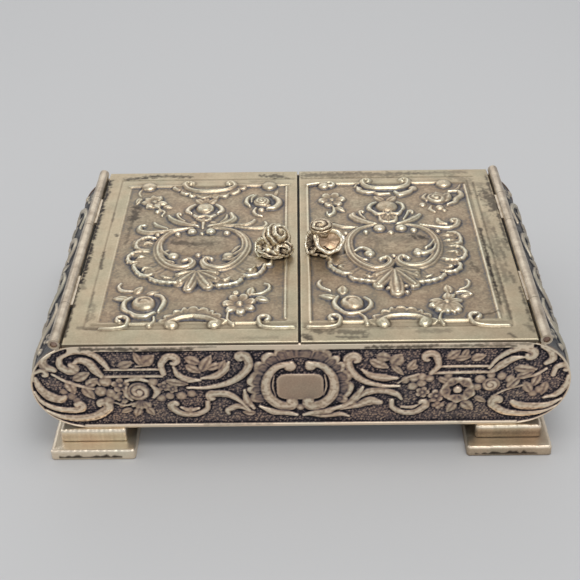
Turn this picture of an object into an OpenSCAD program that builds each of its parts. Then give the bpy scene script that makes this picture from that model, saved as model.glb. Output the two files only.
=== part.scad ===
// Two-lidded table casket of embossed sheet metal on four stepped feet.
// Each half has its own lid, hinged along the rounded end of the case.
// X runs across the case, Y from the front to the back, Z up from the floor.

/* [Case] */
// Width of the front panel over its two round ends
case_w = 186.4; // [150:0.1:240]
// Depth over the front and back panels
case_d = 117.3; // [90:0.1:160]
// Height of the panels
case_h = 36.9; // [28:0.1:50]
// Thickness of a front or back panel behind its relief
panel_t = 0.9; // [0.6:0.1:2]
// Height of the relief on a panel
panel_relief = 0.7; // [0.3:0.1:1.5]
// Height of the plain band along the top of a panel
top_band = 2.6; // [1:0.1:5]
// Height of the plain band along the bottom of a panel
bottom_band = 1.4; // [0.6:0.1:3]
// Thickness of a rounded side wall
wall_t = 1.2; // [0.6:0.1:2.5]
// How far a side wall lies inside the outline of the panels
wall_inset = 0.35; // [0.2:0.05:1]
// How far the relief of a side wall stands out
wall_relief = 1.6; // [0.5:0.1:2.5]
// Upper limit of the side relief, in degrees above level
wall_relief_top = 38; // [20:1:45]
// Lower limit of the side relief, in degrees below level
wall_relief_low = 58; // [30:1:70]
// Plain margin at the front and back of the side relief
wall_relief_margin = 3; // [1:0.1:10]
// Width of the flat flanges that close a side wall above and below
wall_flange = 2.2; // [1:0.1:5]
// Thickness of the base plate
base_t = 1.2; // [0.8:0.1:3]

/* [Inside] */
// Thickness of the divider's web
divider_t = 1; // [0.6:0.1:2]
// Width of the divider's top flange
divider_flange_w = 8; // [5:0.1:14]
// Thickness of the divider's top flange
divider_flange_t = 1; // [0.6:0.1:2]
// Thickness of the cedar lining boards
board_t = 2; // [1:0.1:4]
// How far the lining boards stop below the lids
board_drop = 1.4; // [1.2:0.1:6]

/* [Lids] */
// How far a lid runs out over the round end of the case
lid_over = 5.05; // [4:0.05:8]
// Gap between the two lids
lid_gap = 0.8; // [0.4:0.1:2]
// Thickness of a lid at its edge
lid_edge = 1.3; // [1:0.1:3]
// Thickness of a lid's embossed sheet
lid_sheet = 0.6; // [0.4:0.1:1]
// Width of the sheet's turned-down edge
lid_hem = 0.8; // [0.5:0.1:2]
// Height of the relief on a lid
lid_relief = 1.3; // [0.5:0.1:2.5]
// Width of the rail round a lid's ornament
rail_w = 1.2; // [0.6:0.1:2]
// Plain border between the gap and the rail
gap_border = 1.9; // [1:0.1:8]
// Plain border between the rail and the hinge
hinge_border = 10.5; // [4:0.1:16]
// Plain border at the front of a lid
front_border = 9.4; // [4:0.1:16]
// Plain border at the back of a lid
back_border = 7.2; // [4:0.1:16]
// Clearance between a lid's backing plate and the turned-down edge
backing_clear = 0.1; // [0.05:0.05:0.3]

/* [Hinges] */
// Diameter of the hinge tubes
tube_d = 4; // [3:0.1:6]
// Diameter of a hinge pin
pin_d = 2.4; // [1.2:0.1:2.8]
// Radial clearance between a pin and its tubes
pin_clear = 0.05; // [0.02:0.01:0.1]
// Gap between a lid's edge and its hinge tube
tube_gap = 0.7; // [0.4:0.1:1.5]
// Height of the hinge axis above the top of the case
axis_rise = 1; // [0.3:0.1:1]
// Length of the fixed tubes at the two ends of a hinge
end_tube_l = 21.9; // [12:0.1:30]
// Gap between neighbouring tubes of a hinge
tube_break = 0.2; // [0.1:0.05:0.6]
// Where the lid's two tubes meet, measured back from the middle
split_y = 15.5; // [0:0.1:25]
// Length of each tab that joins a lid to its tubes
tab_l = 18; // [8:0.1:20]
// Thickness of the tabs
tab_t = 1; // [0.6:0.1:1.2]
// How far a pin's ends lie inside the tubes
pin_recess = 0.6; // [0.3:0.1:2]
// Width of the foot that seats a fixed tube on the side wall
seat_w = 1.8; // [1:0.1:2.4]

/* [Knobs] */
// Distance from the middle of the case to a knob
knob_x = 9.2; // [8.4:0.1:30]
// Height of a knob over its lid
knob_h = 11.4; // [8:0.1:16]
// Radius of the leaf collar under a rosebud
collar_r = 7.2; // [5:0.1:8]
// Thickness of the leaf collar
collar_t = 1.6; // [0.8:0.1:3]
// Radius of the outer petals' balls
petal_r = 2.9; // [2:0.1:3.5]
// Radius of the bud's head
head_r = 2.9; // [2:0.1:3.5]
// Diameter of the knob's screw
screw_d = 2.4; // [1.6:0.1:3]
// Width of the knob's nut across its flats
nut_w = 4.6; // [3.6:0.1:5.6]
// Thickness of the nut
nut_t = 1.4; // [0.8:0.1:1.8]

// Radial clearance of the screw in the lid and the collar
screw_clear = 0.1; // [0.05:0.05:0.3]
// Bare margin left on the lid round the collar
collar_clear = 0.3; // [0.2:0.1:1]

/* [Feet] */
// How far the middle of a foot lies inside the centre of the round end
foot_in = 0.95; // [0:0.05:4]
// Side of a foot's square slab
slab_w = 30.1; // [20:0.1:36]
// Thickness of a slab
slab_h = 4.1; // [2:0.1:6]
// How far a slab stands out in front of the case
slab_proud = 6.4; // [2:0.1:10]
// Side of the square step on each slab
step_w = 23.6; // [14:0.1:28]
// Height of a step
step_h = 5.1; // [3:0.1:9]
// How far a step stands out in front of the case
step_proud = 1.3; // [0.5:0.1:3]
// Corner radius of slabs and steps
foot_round = 1.2; // [0.5:0.1:3]

/* [Hidden] */
case_z = slab_h + step_h;                    // underside of the case
top_z = case_z + case_h;                     // top of the case, where the lids rest
end_r = case_h / 2;                          // radius of the panels' round ends
end_x = case_w / 2 - end_r;                  // centre of a round end
mid_z = case_z + end_r;
lid_reach = end_x + lid_over;                // from the middle of the case to a lid's hinge edge
foot_x = end_x - foot_in;                   // from the middle of the case to the middle of a foot
panel_y = case_d / 2 - panel_t - panel_relief;  // inner face of a panel
wall_r = end_r - wall_inset;
wall_low_z = mid_z - wall_r;
wall_top_z = mid_z + wall_r;
inner_x = end_x - wall_flange;               // where the base plate and the flanges meet
lid_w = lid_reach - lid_gap / 2;
lid_top_z = top_z + lid_edge;
tube_r = tube_d / 2;
bore_r = pin_d / 2 + pin_clear;
axis_x = lid_reach + tube_gap + tube_r;
axis_z = top_z + axis_rise;
axis_reach = norm([axis_x - end_x, axis_z - mid_z]);  // from the end's centre line to the hinge axis
end_tube_y = case_d / 2 - end_tube_l;        // inner end of a fixed tube
seat_clear = 0.02;                           // film of solder under a fixed tube's seat
floor_z = case_z + base_t;                   // top of the base plate
board_top_z = top_z - board_drop;
flange_low_z = top_z - divider_flange_t;
screw_r = screw_d / 2;
hole_r = screw_r + screw_clear;
rail_low_x = lid_gap / 2 + gap_border;       // outside of the rail round a lid's ornament
rail_high_x = lid_reach - hinge_border;
rail_low_y = front_border - case_d / 2;
rail_high_y = case_d / 2 - back_border;
field_x = (rail_low_x + rail_high_x) / 2 + 1;  // middle of a lid's ornament, a little off the rails' middle
lid_forms_w = 60;                            // the lid ornament as it is drawn below
lid_forms_d = 98;
lid_forms_scale = min((rail_high_x - rail_low_x - 2 * rail_w) / lid_forms_w,
    (rail_high_y - rail_low_y - 2 * rail_w) / lid_forms_d);
panel_forms_w = 181;                         // the panel ornament as it is drawn below, to its end scrolls
panel_forms_h = 32.9;
panel_forms_scale = min(case_w / panel_forms_w, (case_h - top_band - bottom_band) / panel_forms_h);
foot_y = case_d / 2 + slab_proud - slab_w / 2;
step_y = case_d / 2 + step_proud - step_w / 2;
cut = 1;                                     // how far a cutting body runs past what it cuts
$fn = 64;

SILVER = "#c9bd98";
DARK_SILVER = "#8f8171";
BARE_METAL = "#cdb894";
CEDAR = "#9a6140";
STEEL = "#8c8f93";

// Points of a stadium: straight along the top and bottom, round at both ends
function stadium_points(half, r, n = 40) = concat(
    [for (p = arc_points(r, -90, 90, n)) p + [half, 0]],
    [for (p = arc_points(r, 90, 270, n)) p - [half, 0]]);

// Points of an ellipse
function ellipse_points(a, b, n = 48) = [for (i = [0 : n - 1]) [a * cos(360 * i / n), b * sin(360 * i / n)]];

// Points of a square with round corners
function round_square_points(w, r, n = 6) = [
    for (c = [0 : 3], i = [0 : n])
        let (x = (c == 0 || c == 3) ? w / 2 - r : r - w / 2, y = c < 2 ? w / 2 - r : r - w / 2)
            [x + r * cos(90 * (c + i / n)), y + r * sin(90 * (c + i / n))]];

// Points of an arc from one angle to another
function arc_points(r, from, to, n) = [
    for (i = [0 : n]) let (a = from + (to - from) * i / n) r * [cos(a), sin(a)]];

// A band of constant width along an arc, flat on the drawing plane
module arc_band(r, w, from, to, n = 20) {
    polygon(concat(arc_points(r + w / 2, from, to, n), arc_points(r - w / 2, to, from, n)));
}

// An arc with a ball at each end, as the C-scrolls of the ornament
module c_scroll(r, w, from, to) {
    arc_band(r, w, from, to);
    for (a = [from, to]) translate(r * [cos(a), sin(a)]) circle(r = w * 0.95, $fn = 24);
}

// An oval ring
module oval_ring(a, b, w) {
    difference() {
        polygon(ellipse_points(a, b));
        polygon(ellipse_points(a - w, b - w));
    }
}

// A flower seen from above: petals round a middle
module flower(r, petals = 5) {
    circle(r = r * 0.45, $fn = 24);
    for (i = [0 : petals - 1])
        rotate(360 * i / petals) translate([r * 0.62, 0]) circle(r = r * 0.4, $fn = 24);
}

// The forms raised on a lid, drawn about the middle of the ornament at lid_forms_w by lid_forms_d:
// an oval cartouche, scrolls before and behind it, leaves, shells and flowers
module lid_forms() {
    cartouche = [18.5, 15];
    boss = [13.2, 7.6];
    leaf = [6.2, 1.8];
    line_w = 2;
    oval_ring(cartouche[0], cartouche[1], line_w);
    polygon(ellipse_points(boss[0], boss[1]));
    translate([0, 44.5]) c_scroll(10.8, line_w, 200, 340);
    translate([0, -58.2]) c_scroll(12.2, line_w, 30, 150);
    translate([0, 30.3]) flower(4);
    translate([0, -27]) flower(4.6, 6);
    for (side = [-1, 1]) {
        translate([side * 22, 35.5]) flower(5);
        translate([side * 17.5, -36]) flower(5.4);
        translate([side * 20.5, -4]) rotate(side * 90) c_scroll(6, line_w, 200, 340);
        for (at = [[12.5, 21, -32], [24, 13.5, 24], [10, -17.6, 25]])
            translate([side * at[0], at[1]]) rotate(side * at[2]) polygon(ellipse_points(leaf[0], leaf[1]));
    }
}

// The rail that frames a lid's ornament
module lid_rail() {
    w = rail_high_x - rail_low_x;
    d = rail_high_y - rail_low_y;
    difference() {
        translate([rail_low_x, rail_low_y]) square([w, d]);
        translate([rail_low_x + rail_w, rail_low_y + rail_w]) square([w - 2 * rail_w, d - 2 * rail_w]);
    }
}

// The forms raised on a panel, drawn about its middle at panel_forms_w by panel_forms_h:
// a round cartouche, C-scrolls beside it, flower sprays and a large scroll in each round end
module panel_forms() {
    cartouche = [13, 12.6];
    boss = [8, 5.2];
    line_w = 2;
    oval_ring(cartouche[0], cartouche[1], line_w);
    polygon(ellipse_points(boss[0], boss[1]));
    for (side = [-1, 1]) {
        turn = side > 0 ? 0 : 180;
        translate([side * 22, -1.4]) rotate(turn) c_scroll(8.4, line_w, -110, 100);
        translate([side * 40, 2.6]) rotate(180 - turn) c_scroll(7, line_w, -100, 80);
        translate([side * 75.5, -1.6]) rotate(side > 0 ? -130 : 100) c_scroll(11.6, line_w, 0, 210);
        translate([side * 75, 6.1]) rotate(side * 20) c_scroll(5, line_w, 20, 200);
        translate([side * 54, 8.2]) square([20, line_w / 2], center = true);
        for (at = [[55, -2.9, 6], [47.5, -4.9, 3.4], [63.5, -3.4, 3.2]])
            translate([side * at[0], at[1]]) flower(at[2]);
    }
}

// A front panel standing at the middle of the case, face towards -Y
module panel() {
    translate([0, -panel_y, mid_z]) rotate([90, 0, 0]) {
        linear_extrude(panel_t) polygon(stadium_points(end_x, end_r));
        translate([0, 0, panel_t]) linear_extrude(panel_relief) {
            translate([0, (bottom_band - top_band) / 2]) scale(panel_forms_scale) panel_forms();
            translate([-end_x, end_r - top_band]) square([2 * end_x, top_band]);
            translate([-end_x, -end_r]) square([2 * end_x, bottom_band]);
        }
    }
}

// A part of the right-hand side wall: a curved band between two angles, given above level
module wall_band(r, t, low, high, length) {
    translate([end_x, length / 2, mid_z]) rotate([90, 0, 0])
        linear_extrude(length) arc_band(r - t / 2, t, low, high, 48);
}

module side_wall() {
    length = 2 * panel_y;
    union() {
        wall_band(wall_r, wall_t, -90, 90, length);
        translate([inner_x, -length / 2, wall_top_z - wall_t]) cube([wall_flange, length, wall_t]);
        translate([inner_x, -length / 2, wall_low_z]) cube([wall_flange, length, wall_t]);
        wall_band(wall_r + wall_relief, wall_relief + wall_t / 2, -wall_relief_low, wall_relief_top,
            length - 2 * wall_relief_margin);
    }
}

module base() {
    translate([-inner_x, -panel_y, case_z]) cube([2 * inner_x, 2 * panel_y, base_t]);
}

module divider() {
    union() {
        translate([-divider_t / 2, -panel_y, floor_z])
            cube([divider_t, 2 * panel_y, flange_low_z - floor_z]);
        translate([-divider_flange_w / 2, -panel_y, flange_low_z])
            cube([divider_flange_w, 2 * panel_y, divider_flange_t]);
    }
}

module lining_floor() {
    translate([divider_t / 2, -panel_y, floor_z]) cube([inner_x - divider_t / 2, 2 * panel_y, board_t]);
}

// The boards along the front and back of a compartment
module lining_ends() {
    height = board_top_z - floor_z - board_t;
    for (y = [-panel_y, panel_y - board_t])
        translate([divider_t / 2, y, floor_z + board_t]) cube([inner_x - divider_t / 2, board_t, height]);
}

// The boards beside the divider and beside the rounded wall
module lining_sides() {
    height = board_top_z - floor_z - board_t;
    length = 2 * (panel_y - board_t);
    for (x = [divider_t / 2, inner_x - board_t])
        translate([x, -length / 2, floor_z + board_t]) cube([board_t, length, height]);
}

// A length of hinge tube, bored for the pin
module tube(from, to) {
    translate([axis_x, from, axis_z]) rotate([-90, 0, 0]) difference() {
        cylinder(r = tube_r, h = to - from);
        translate([0, 0, -cut]) cylinder(r = bore_r, h = to - from + 2 * cut);
    }
}

// A round body about the centre line of the case's rounded end
module end_core(r, from, to) {
    translate([end_x, from, mid_z]) rotate([-90, 0, 0]) cylinder(r = r, h = to - from, $fn = 96);
}

// A fixed tube on the seat that carries it on the rounded wall and the panel's edge
module fixed_tube(from, to) {
    union() {
        tube(from, to);
        difference() {
            translate([axis_x, 0, axis_z]) rotate([0, atan2(axis_x - end_x, axis_z - mid_z), 0])
                translate([-seat_w / 2, from, -(axis_reach - wall_r + cut)])
                    cube([seat_w, to - from, axis_reach - wall_r + cut - (bore_r + tube_r) / 2]);
            end_core(wall_r + seat_clear, from - cut, to + cut);
            end_core(end_r + seat_clear, -case_d / 2 - cut, -panel_y + seat_clear);
            end_core(end_r + seat_clear, panel_y - seat_clear, case_d / 2 + cut);
        }
    }
}

module fixed_tubes() {
    fixed_tube(-case_d / 2, -end_tube_y);
    fixed_tube(end_tube_y, case_d / 2);
}

// A tube that turns with the lid, and the tab that joins the two
module lid_tube(from, to, tab_from) {
    union() {
        tube(from, to);
        difference() {
            translate([lid_reach, tab_from, axis_z - tab_t / 2])
                cube([axis_x - lid_reach, tab_l, tab_t]);
            translate([axis_x, tab_from - cut, axis_z]) rotate([-90, 0, 0])
                cylinder(r = (bore_r + tube_r) / 2, h = tab_l + 2 * cut);
        }
    }
}

module lid_tubes() {
    low = -end_tube_y + tube_break;
    high = end_tube_y - tube_break;
    lid_tube(low, split_y - tube_break / 2, low);
    lid_tube(split_y + tube_break / 2, high, high - tab_l);
}

module hinge_pin() {
    translate([axis_x, -case_d / 2 + pin_recess, axis_z]) rotate([-90, 0, 0])
        cylinder(r = pin_d / 2, h = case_d - 2 * pin_recess);
}

// The embossed sheet of a lid, with its edge turned down
module lid_cover() {
    difference() {
        union() {
            translate([lid_gap / 2, -case_d / 2, top_z]) cube([lid_w, case_d, lid_edge]);
            translate([0, 0, lid_top_z]) linear_extrude(lid_relief) difference() {
                union() {
                    translate([field_x, (rail_low_y + rail_high_y) / 2]) scale(lid_forms_scale) lid_forms();
                    lid_rail();
                }
                translate([knob_x, 0]) circle(r = collar_r + collar_clear);
            }
        }
        translate([lid_gap / 2 + lid_hem, -case_d / 2 + lid_hem, top_z - cut])
            cube([lid_w - 2 * lid_hem, case_d - 2 * lid_hem, lid_edge - lid_sheet + cut]);
        translate([knob_x, 0, top_z]) cylinder(r = hole_r, h = lid_edge + lid_relief + cut);
    }
}

// The flat plate that closes the underside of a lid
module lid_backing() {
    inset = lid_hem + backing_clear;
    difference() {
        translate([lid_gap / 2 + inset, -case_d / 2 + inset, top_z])
            cube([lid_w - 2 * inset, case_d - 2 * inset, lid_edge - lid_sheet]);
        translate([knob_x, 0, top_z - cut]) cylinder(r = hole_r, h = lid_edge + 2 * cut);
    }
}

// The cast rosebud: a whorl of five petals round a smaller head
module knob_rose() {
    base_z = lid_top_z + collar_t;
    head_z = lid_top_z + knob_h - head_r;
    spread = petal_r * 0.8;                  // from the axis, and from the collar, to the petals' balls
    reach = spread + petal_r;
    difference() {
        union() {
            translate([knob_x, 0, base_z]) cylinder(r = petal_r, h = head_z - base_z);
            translate([knob_x, 0, head_z]) sphere(r = head_r);
            for (i = [0 : 4])
                translate([knob_x, 0, base_z + spread]) rotate(72 * i + 20) translate([spread, 0, 0])
                    sphere(r = petal_r);
        }
        translate([knob_x - reach - cut, -reach - cut, base_z - reach])
            cube([2 * (reach + cut), 2 * (reach + cut), reach]);
    }
}

// The collar of leaves under a rosebud
module knob_collar() {
    leaf_r = collar_r * 0.4;
    difference() {
        union() {
            translate([knob_x, 0, lid_top_z]) cylinder(r = collar_r * 0.62, h = collar_t);
            for (i = [0 : 5])
                translate([knob_x, 0, lid_top_z]) rotate(60 * i + 30) translate([collar_r - leaf_r, 0, 0])
                    cylinder(r = leaf_r, h = collar_t * 0.75);
        }
        translate([knob_x, 0, lid_top_z - cut]) cylinder(r = hole_r, h = collar_t + 2 * cut);
    }
}

// The screw, from the rosebud's underside through the collar and the lid
module knob_screw() {
    translate([knob_x, 0, top_z - nut_t]) cylinder(r = screw_r, h = lid_edge + nut_t + collar_t);
}

module knob_nut() {
    translate([knob_x, 0, top_z - nut_t]) difference() {
        cylinder(r = nut_w / 2 / cos(30), h = nut_t, $fn = 6);
        translate([0, 0, -cut]) cylinder(r = screw_r + 0.02, h = nut_t + 2 * cut);
    }
}

module foot_slab(sx, sy) {
    translate([sx * foot_x, sy * foot_y, 0])
        linear_extrude(slab_h) polygon(round_square_points(slab_w, foot_round));
}

module foot_step(sx, sy) {
    translate([sx * foot_x, sy * step_y, slab_h])
        linear_extrude(step_h) polygon(round_square_points(step_w, foot_round));
}

module left() { mirror([1, 0, 0]) children(); }

color(DARK_SILVER) panel();  // front_panel
color(DARK_SILVER) rotate([0, 0, 180]) panel();  // back_panel
color(DARK_SILVER) left() side_wall();  // left_side_wall
color(DARK_SILVER) side_wall();  // right_side_wall
color(DARK_SILVER) base();  // base_plate
color(BARE_METAL) divider();  // centre_divider
color(CEDAR) left() lining_floor();  // left_lining_floor
color(CEDAR) left() lining_ends();  // left_lining_ends
color(CEDAR) left() lining_sides();  // left_lining_sides
color(CEDAR) lining_floor();  // right_lining_floor
color(CEDAR) lining_ends();  // right_lining_ends
color(CEDAR) lining_sides();  // right_lining_sides
color(BARE_METAL) left() fixed_tubes();  // left_fixed_tubes
color(BARE_METAL) fixed_tubes();  // right_fixed_tubes
color(STEEL) left() hinge_pin();  // left_hinge_pin
color(STEEL) hinge_pin();  // right_hinge_pin
color(BARE_METAL) foot_slab(-1, -1);  // foot_slab_front_left
color(BARE_METAL) foot_slab(1, -1);  // foot_slab_front_right
color(BARE_METAL) foot_slab(-1, 1);  // foot_slab_back_left
color(BARE_METAL) foot_slab(1, 1);  // foot_slab_back_right
color(BARE_METAL) foot_step(-1, -1);  // foot_step_front_left
color(BARE_METAL) foot_step(1, -1);  // foot_step_front_right
color(BARE_METAL) foot_step(-1, 1);  // foot_step_back_left
color(BARE_METAL) foot_step(1, 1);  // foot_step_back_right
color(SILVER) left() lid_cover();  // left_lid_cover
color(SILVER) left() lid_backing();  // left_lid_backing
color(BARE_METAL) left() lid_tubes();  // left_lid_tubes
color(SILVER) left() knob_rose();  // left_knob_rose
color(SILVER) left() knob_collar();  // left_knob_collar
color(STEEL) left() knob_screw();  // left_knob_screw
color(STEEL) left() knob_nut();  // left_knob_nut
color(SILVER) lid_cover();  // right_lid_cover
color(SILVER) lid_backing();  // right_lid_backing
color(BARE_METAL) lid_tubes();  // right_lid_tubes
color(SILVER) knob_rose();  // right_knob_rose
color(SILVER) knob_collar();  // right_knob_collar
color(STEEL) knob_screw();  // right_knob_screw
color(STEEL) knob_nut();  // right_knob_nut
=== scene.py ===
# %% [markdown]
# A small table casket with two hinged lids, made of embossed and oxidised silver plate.
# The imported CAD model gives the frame. This lesson dresses it: pressed ornament on the lids, panels and
# rounded ends, cast rosebud knobs, worn feet, and cedar inside.
# %% Load the frame
import bpy
import numpy as np
from mathutils import Matrix, Vector


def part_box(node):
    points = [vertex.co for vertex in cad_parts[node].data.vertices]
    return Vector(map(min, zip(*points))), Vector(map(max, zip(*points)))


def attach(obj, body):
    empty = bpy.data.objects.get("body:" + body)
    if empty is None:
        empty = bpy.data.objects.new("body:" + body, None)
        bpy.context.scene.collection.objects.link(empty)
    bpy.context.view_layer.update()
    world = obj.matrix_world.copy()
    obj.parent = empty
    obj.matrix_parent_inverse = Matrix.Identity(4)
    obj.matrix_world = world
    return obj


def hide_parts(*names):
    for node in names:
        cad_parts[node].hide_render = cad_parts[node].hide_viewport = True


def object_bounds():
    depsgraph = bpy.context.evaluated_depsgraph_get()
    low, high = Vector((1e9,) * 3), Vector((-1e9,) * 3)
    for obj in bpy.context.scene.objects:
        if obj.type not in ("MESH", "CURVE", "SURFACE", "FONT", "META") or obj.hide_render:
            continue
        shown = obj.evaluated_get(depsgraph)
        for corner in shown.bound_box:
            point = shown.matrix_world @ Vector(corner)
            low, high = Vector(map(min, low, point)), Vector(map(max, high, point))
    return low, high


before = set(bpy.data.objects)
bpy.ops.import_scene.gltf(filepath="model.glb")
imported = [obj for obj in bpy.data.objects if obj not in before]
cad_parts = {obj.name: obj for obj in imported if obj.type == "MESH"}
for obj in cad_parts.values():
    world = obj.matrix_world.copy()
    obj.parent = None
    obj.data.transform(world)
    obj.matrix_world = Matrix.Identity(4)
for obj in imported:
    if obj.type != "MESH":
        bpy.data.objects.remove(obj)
cad_box = [list(corner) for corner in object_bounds()]
MM = 0.001
print("nodes:", len(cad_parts))


# %% [markdown]
# Everything below is written in millimetres, as a silversmith would measure it. The CAD box of a node gives
# each new surface its place, so the sizes here repeat the ones that the solids have.
# %% Sizes
def node_box(name):
    """Lowest and highest corner of a CAD node, in millimetres."""
    low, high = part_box(name)
    return np.array(low) / MM, np.array(high) / MM


lid_low, lid_high = node_box("right_lid_cover")
backing_low, backing_high = node_box("right_lid_backing")
panel_low, panel_high = node_box("front_panel")
collar_low, collar_high = node_box("right_knob_collar")
LID_W = lid_high[0] - lid_low[0]
LID_D = lid_high[1] - lid_low[1]
LID_TOP = collar_low[2]
LID_REST = lid_low[2]
END_R = (panel_high[2] - panel_low[2]) / 2
END_X = panel_high[0] - END_R
MID_Z = panel_low[2] + END_R
print(f"lid {LID_W:.1f} x {LID_D:.1f}, top at {LID_TOP:.1f}, round end radius {END_R:.2f} at {END_X:.2f}")

# %% [markdown]
# The camera looks down at the casket from the front, a little left of its middle. A longer lens keeps the
# sides nearly parallel, as in a catalogue picture.
# %% Camera
CAMERA_AT = (0.7411, -335.199, 264.187)
PITCH, YAW, ROLL = 0.61566, -0.013071, -0.018785
FOCAL_PX, FRAME_PX, SENSOR = 1050, 580, 36


def aim_camera():
    """Camera matrix: its columns are the picture's right, its up and the reverse of the view line."""
    ahead = np.array([np.sin(YAW) * np.cos(PITCH), np.cos(YAW) * np.cos(PITCH), -np.sin(PITCH)])
    side = np.array([np.cos(YAW), -np.sin(YAW), 0.0])
    up = np.cross(side, ahead)
    right = side * np.cos(ROLL) + up * np.sin(ROLL)
    top = -side * np.sin(ROLL) + up * np.cos(ROLL)
    turn = np.eye(4)
    turn[:3, 0], turn[:3, 1], turn[:3, 2] = right, top, -ahead
    turn[:3, 3] = np.array(CAMERA_AT) * MM
    return Matrix(turn.tolist())


camera = bpy.data.objects.new("camera", bpy.data.cameras.new("camera"))
camera.data.sensor_width = SENSOR
camera.data.lens = FOCAL_PX / FRAME_PX * SENSOR
camera.data.clip_start = 0.01
camera.matrix_world = aim_camera()
bpy.context.scene.collection.objects.link(camera)
bpy.context.scene.camera = camera
bpy.context.scene.view_settings.view_transform = "Standard"
print(f"lens {camera.data.lens:.1f} mm")


# %% [markdown]
# Meshes are written straight from arrays. A grid of points becomes four-sided faces, and a rim of rings
# closes the sheet behind, as the turned-down edge of pressed metal does.
# %% Meshes from arrays
def write_mesh(name, points, faces, attributes=None, smooth=True):
    """Object from points (n, 3) in millimetres and a list of face arrays, each (k, corners)."""
    mesh = bpy.data.meshes.new(name)
    mesh.vertices.add(len(points))
    mesh.vertices.foreach_set("co", (np.asarray(points) * MM).astype(np.float32).ravel())
    loops = np.concatenate([np.asarray(f).ravel() for f in faces])
    counts = np.concatenate([np.full(len(f), np.shape(f)[1]) for f in faces])
    mesh.loops.add(len(loops))
    mesh.loops.foreach_set("vertex_index", loops.astype(np.int32))
    mesh.polygons.add(len(counts))
    mesh.polygons.foreach_set("loop_start", (np.cumsum(counts) - counts).astype(np.int32))
    mesh.polygons.foreach_set("use_smooth", np.full(len(counts), smooth))
    mesh.update(calc_edges=True)
    for key, values in (attributes or {}).items():
        mesh.attributes.new(key, "FLOAT", "POINT").data.foreach_set("value",
            np.asarray(values, np.float32).ravel())
    mesh.validate()
    piece = bpy.data.objects.new(name, mesh)
    bpy.context.scene.collection.objects.link(piece)
    return piece


def grid_faces(rows, columns, wrap=False, start=0):
    """Corners of the faces of a grid of points, row by row; wrap joins the last column to the first."""
    i = np.arange(rows - 1)[:, None]
    j = np.arange(columns if wrap else columns - 1)[None, :]
    k = (j + 1) % columns
    a, b, c, d = i * columns + j, i * columns + k, (i + 1) * columns + k, (i + 1) * columns + j
    return np.stack([a, b, c, d], -1).reshape(-1, 4) + start


def edge_loop(rows, columns):
    """Indices round a grid: along its first row, up its last column, and back along the other two sides."""
    i, j = np.arange(columns - 1), np.arange(rows - 1)
    return np.concatenate([i, j * columns + columns - 1, rows * columns - 1 - i, (rows - 1 - j) * columns])


def close_sheet(name, top, rings, attributes):
    """A grid of points whose edge is carried through rings of points to a flat face that closes it."""
    rows, columns = top.shape[:2]
    loop = edge_loop(rows, columns)
    n = len(loop)
    points, faces = [top.reshape(-1, 3)], [grid_faces(rows, columns)]
    last, count = loop, rows * columns
    for ring in rings:
        new = count + np.arange(n)
        faces.append(np.stack([last, new, np.roll(new, -1), np.roll(last, -1)], -1))
        points.append(ring)
        last, count = new, count + n
    faces.append(last[::-1][None, :])
    closing = np.full(count - rows * columns, 0.45)
    extra = {key: np.concatenate([value.ravel(), closing]) for key, value in attributes.items()}
    return write_mesh(name, np.vstack(points), faces, extra)


# %% [markdown]
# Pressed ornament is a height over the sheet. It is built up on a raster as a modeller builds wax: beads
# drawn along curves, balls, leaves, flowers and shells, each keeping the higher of what is there and what
# it adds. Seen from the front and above, a raised form seems to lie further back, so each form is moved
# forward by its height times a constant before it is drawn. That keeps the places as they were read from
# the picture.
# %% Relief raster
def spline(points, gap=0.3):
    """Points along a Catmull-Rom curve, about a gap apart, and the share of the way that each has gone."""
    p = np.asarray(points, float)
    if len(p) == 2:
        p = np.array([p[0], p.mean(0), p[1]])
    q = np.vstack([2 * p[0] - p[1], p, 2 * p[-1] - p[-2]])
    path, share = [], []
    for k in range(1, len(q) - 2):
        n = max(2, int(np.hypot(*(q[k + 1] - q[k])) / gap))
        t = np.linspace(0, 1, n, endpoint=False)[:, None]
        a, b, c, d = q[k - 1], q[k], q[k + 1], q[k + 2]
        curve = 2 * b + (c - a) * t + (2 * a - 5 * b + 4 * c - d) * t**2 + (3 * b - a - 3 * c + d) * t**3
        path.append(0.5 * curve)
        share.append((k - 1 + t[:, 0]) / (len(p) - 1))
    return np.vstack(path + [p[-1:]]), np.concatenate(share + [[1.0]])


def volute(points, radius, side, turn=4.6):
    """The points, then a spiral that closes to a third of its radius, to the left (1) or the right (-1)."""
    p = np.asarray(points, float)
    ahead = p[-1] - p[-2]
    ahead /= np.hypot(*ahead)
    centre = p[-1] + radius * side * np.array([-ahead[1], ahead[0]])
    first = np.arctan2(*(p[-1] - centre)[::-1])
    k = np.linspace(0, 1, 9)[1:, None]
    angle = first + side * turn * k
    return np.vstack([p, centre + radius * (1 - 0.66 * k) * np.hstack([np.cos(angle), np.sin(angle)])])


def dome(q):
    """Height of a round bead at a share q of its half width: the root of one minus q squared."""
    return np.sqrt(np.clip(1 - q * q, 0, 1))


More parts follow.
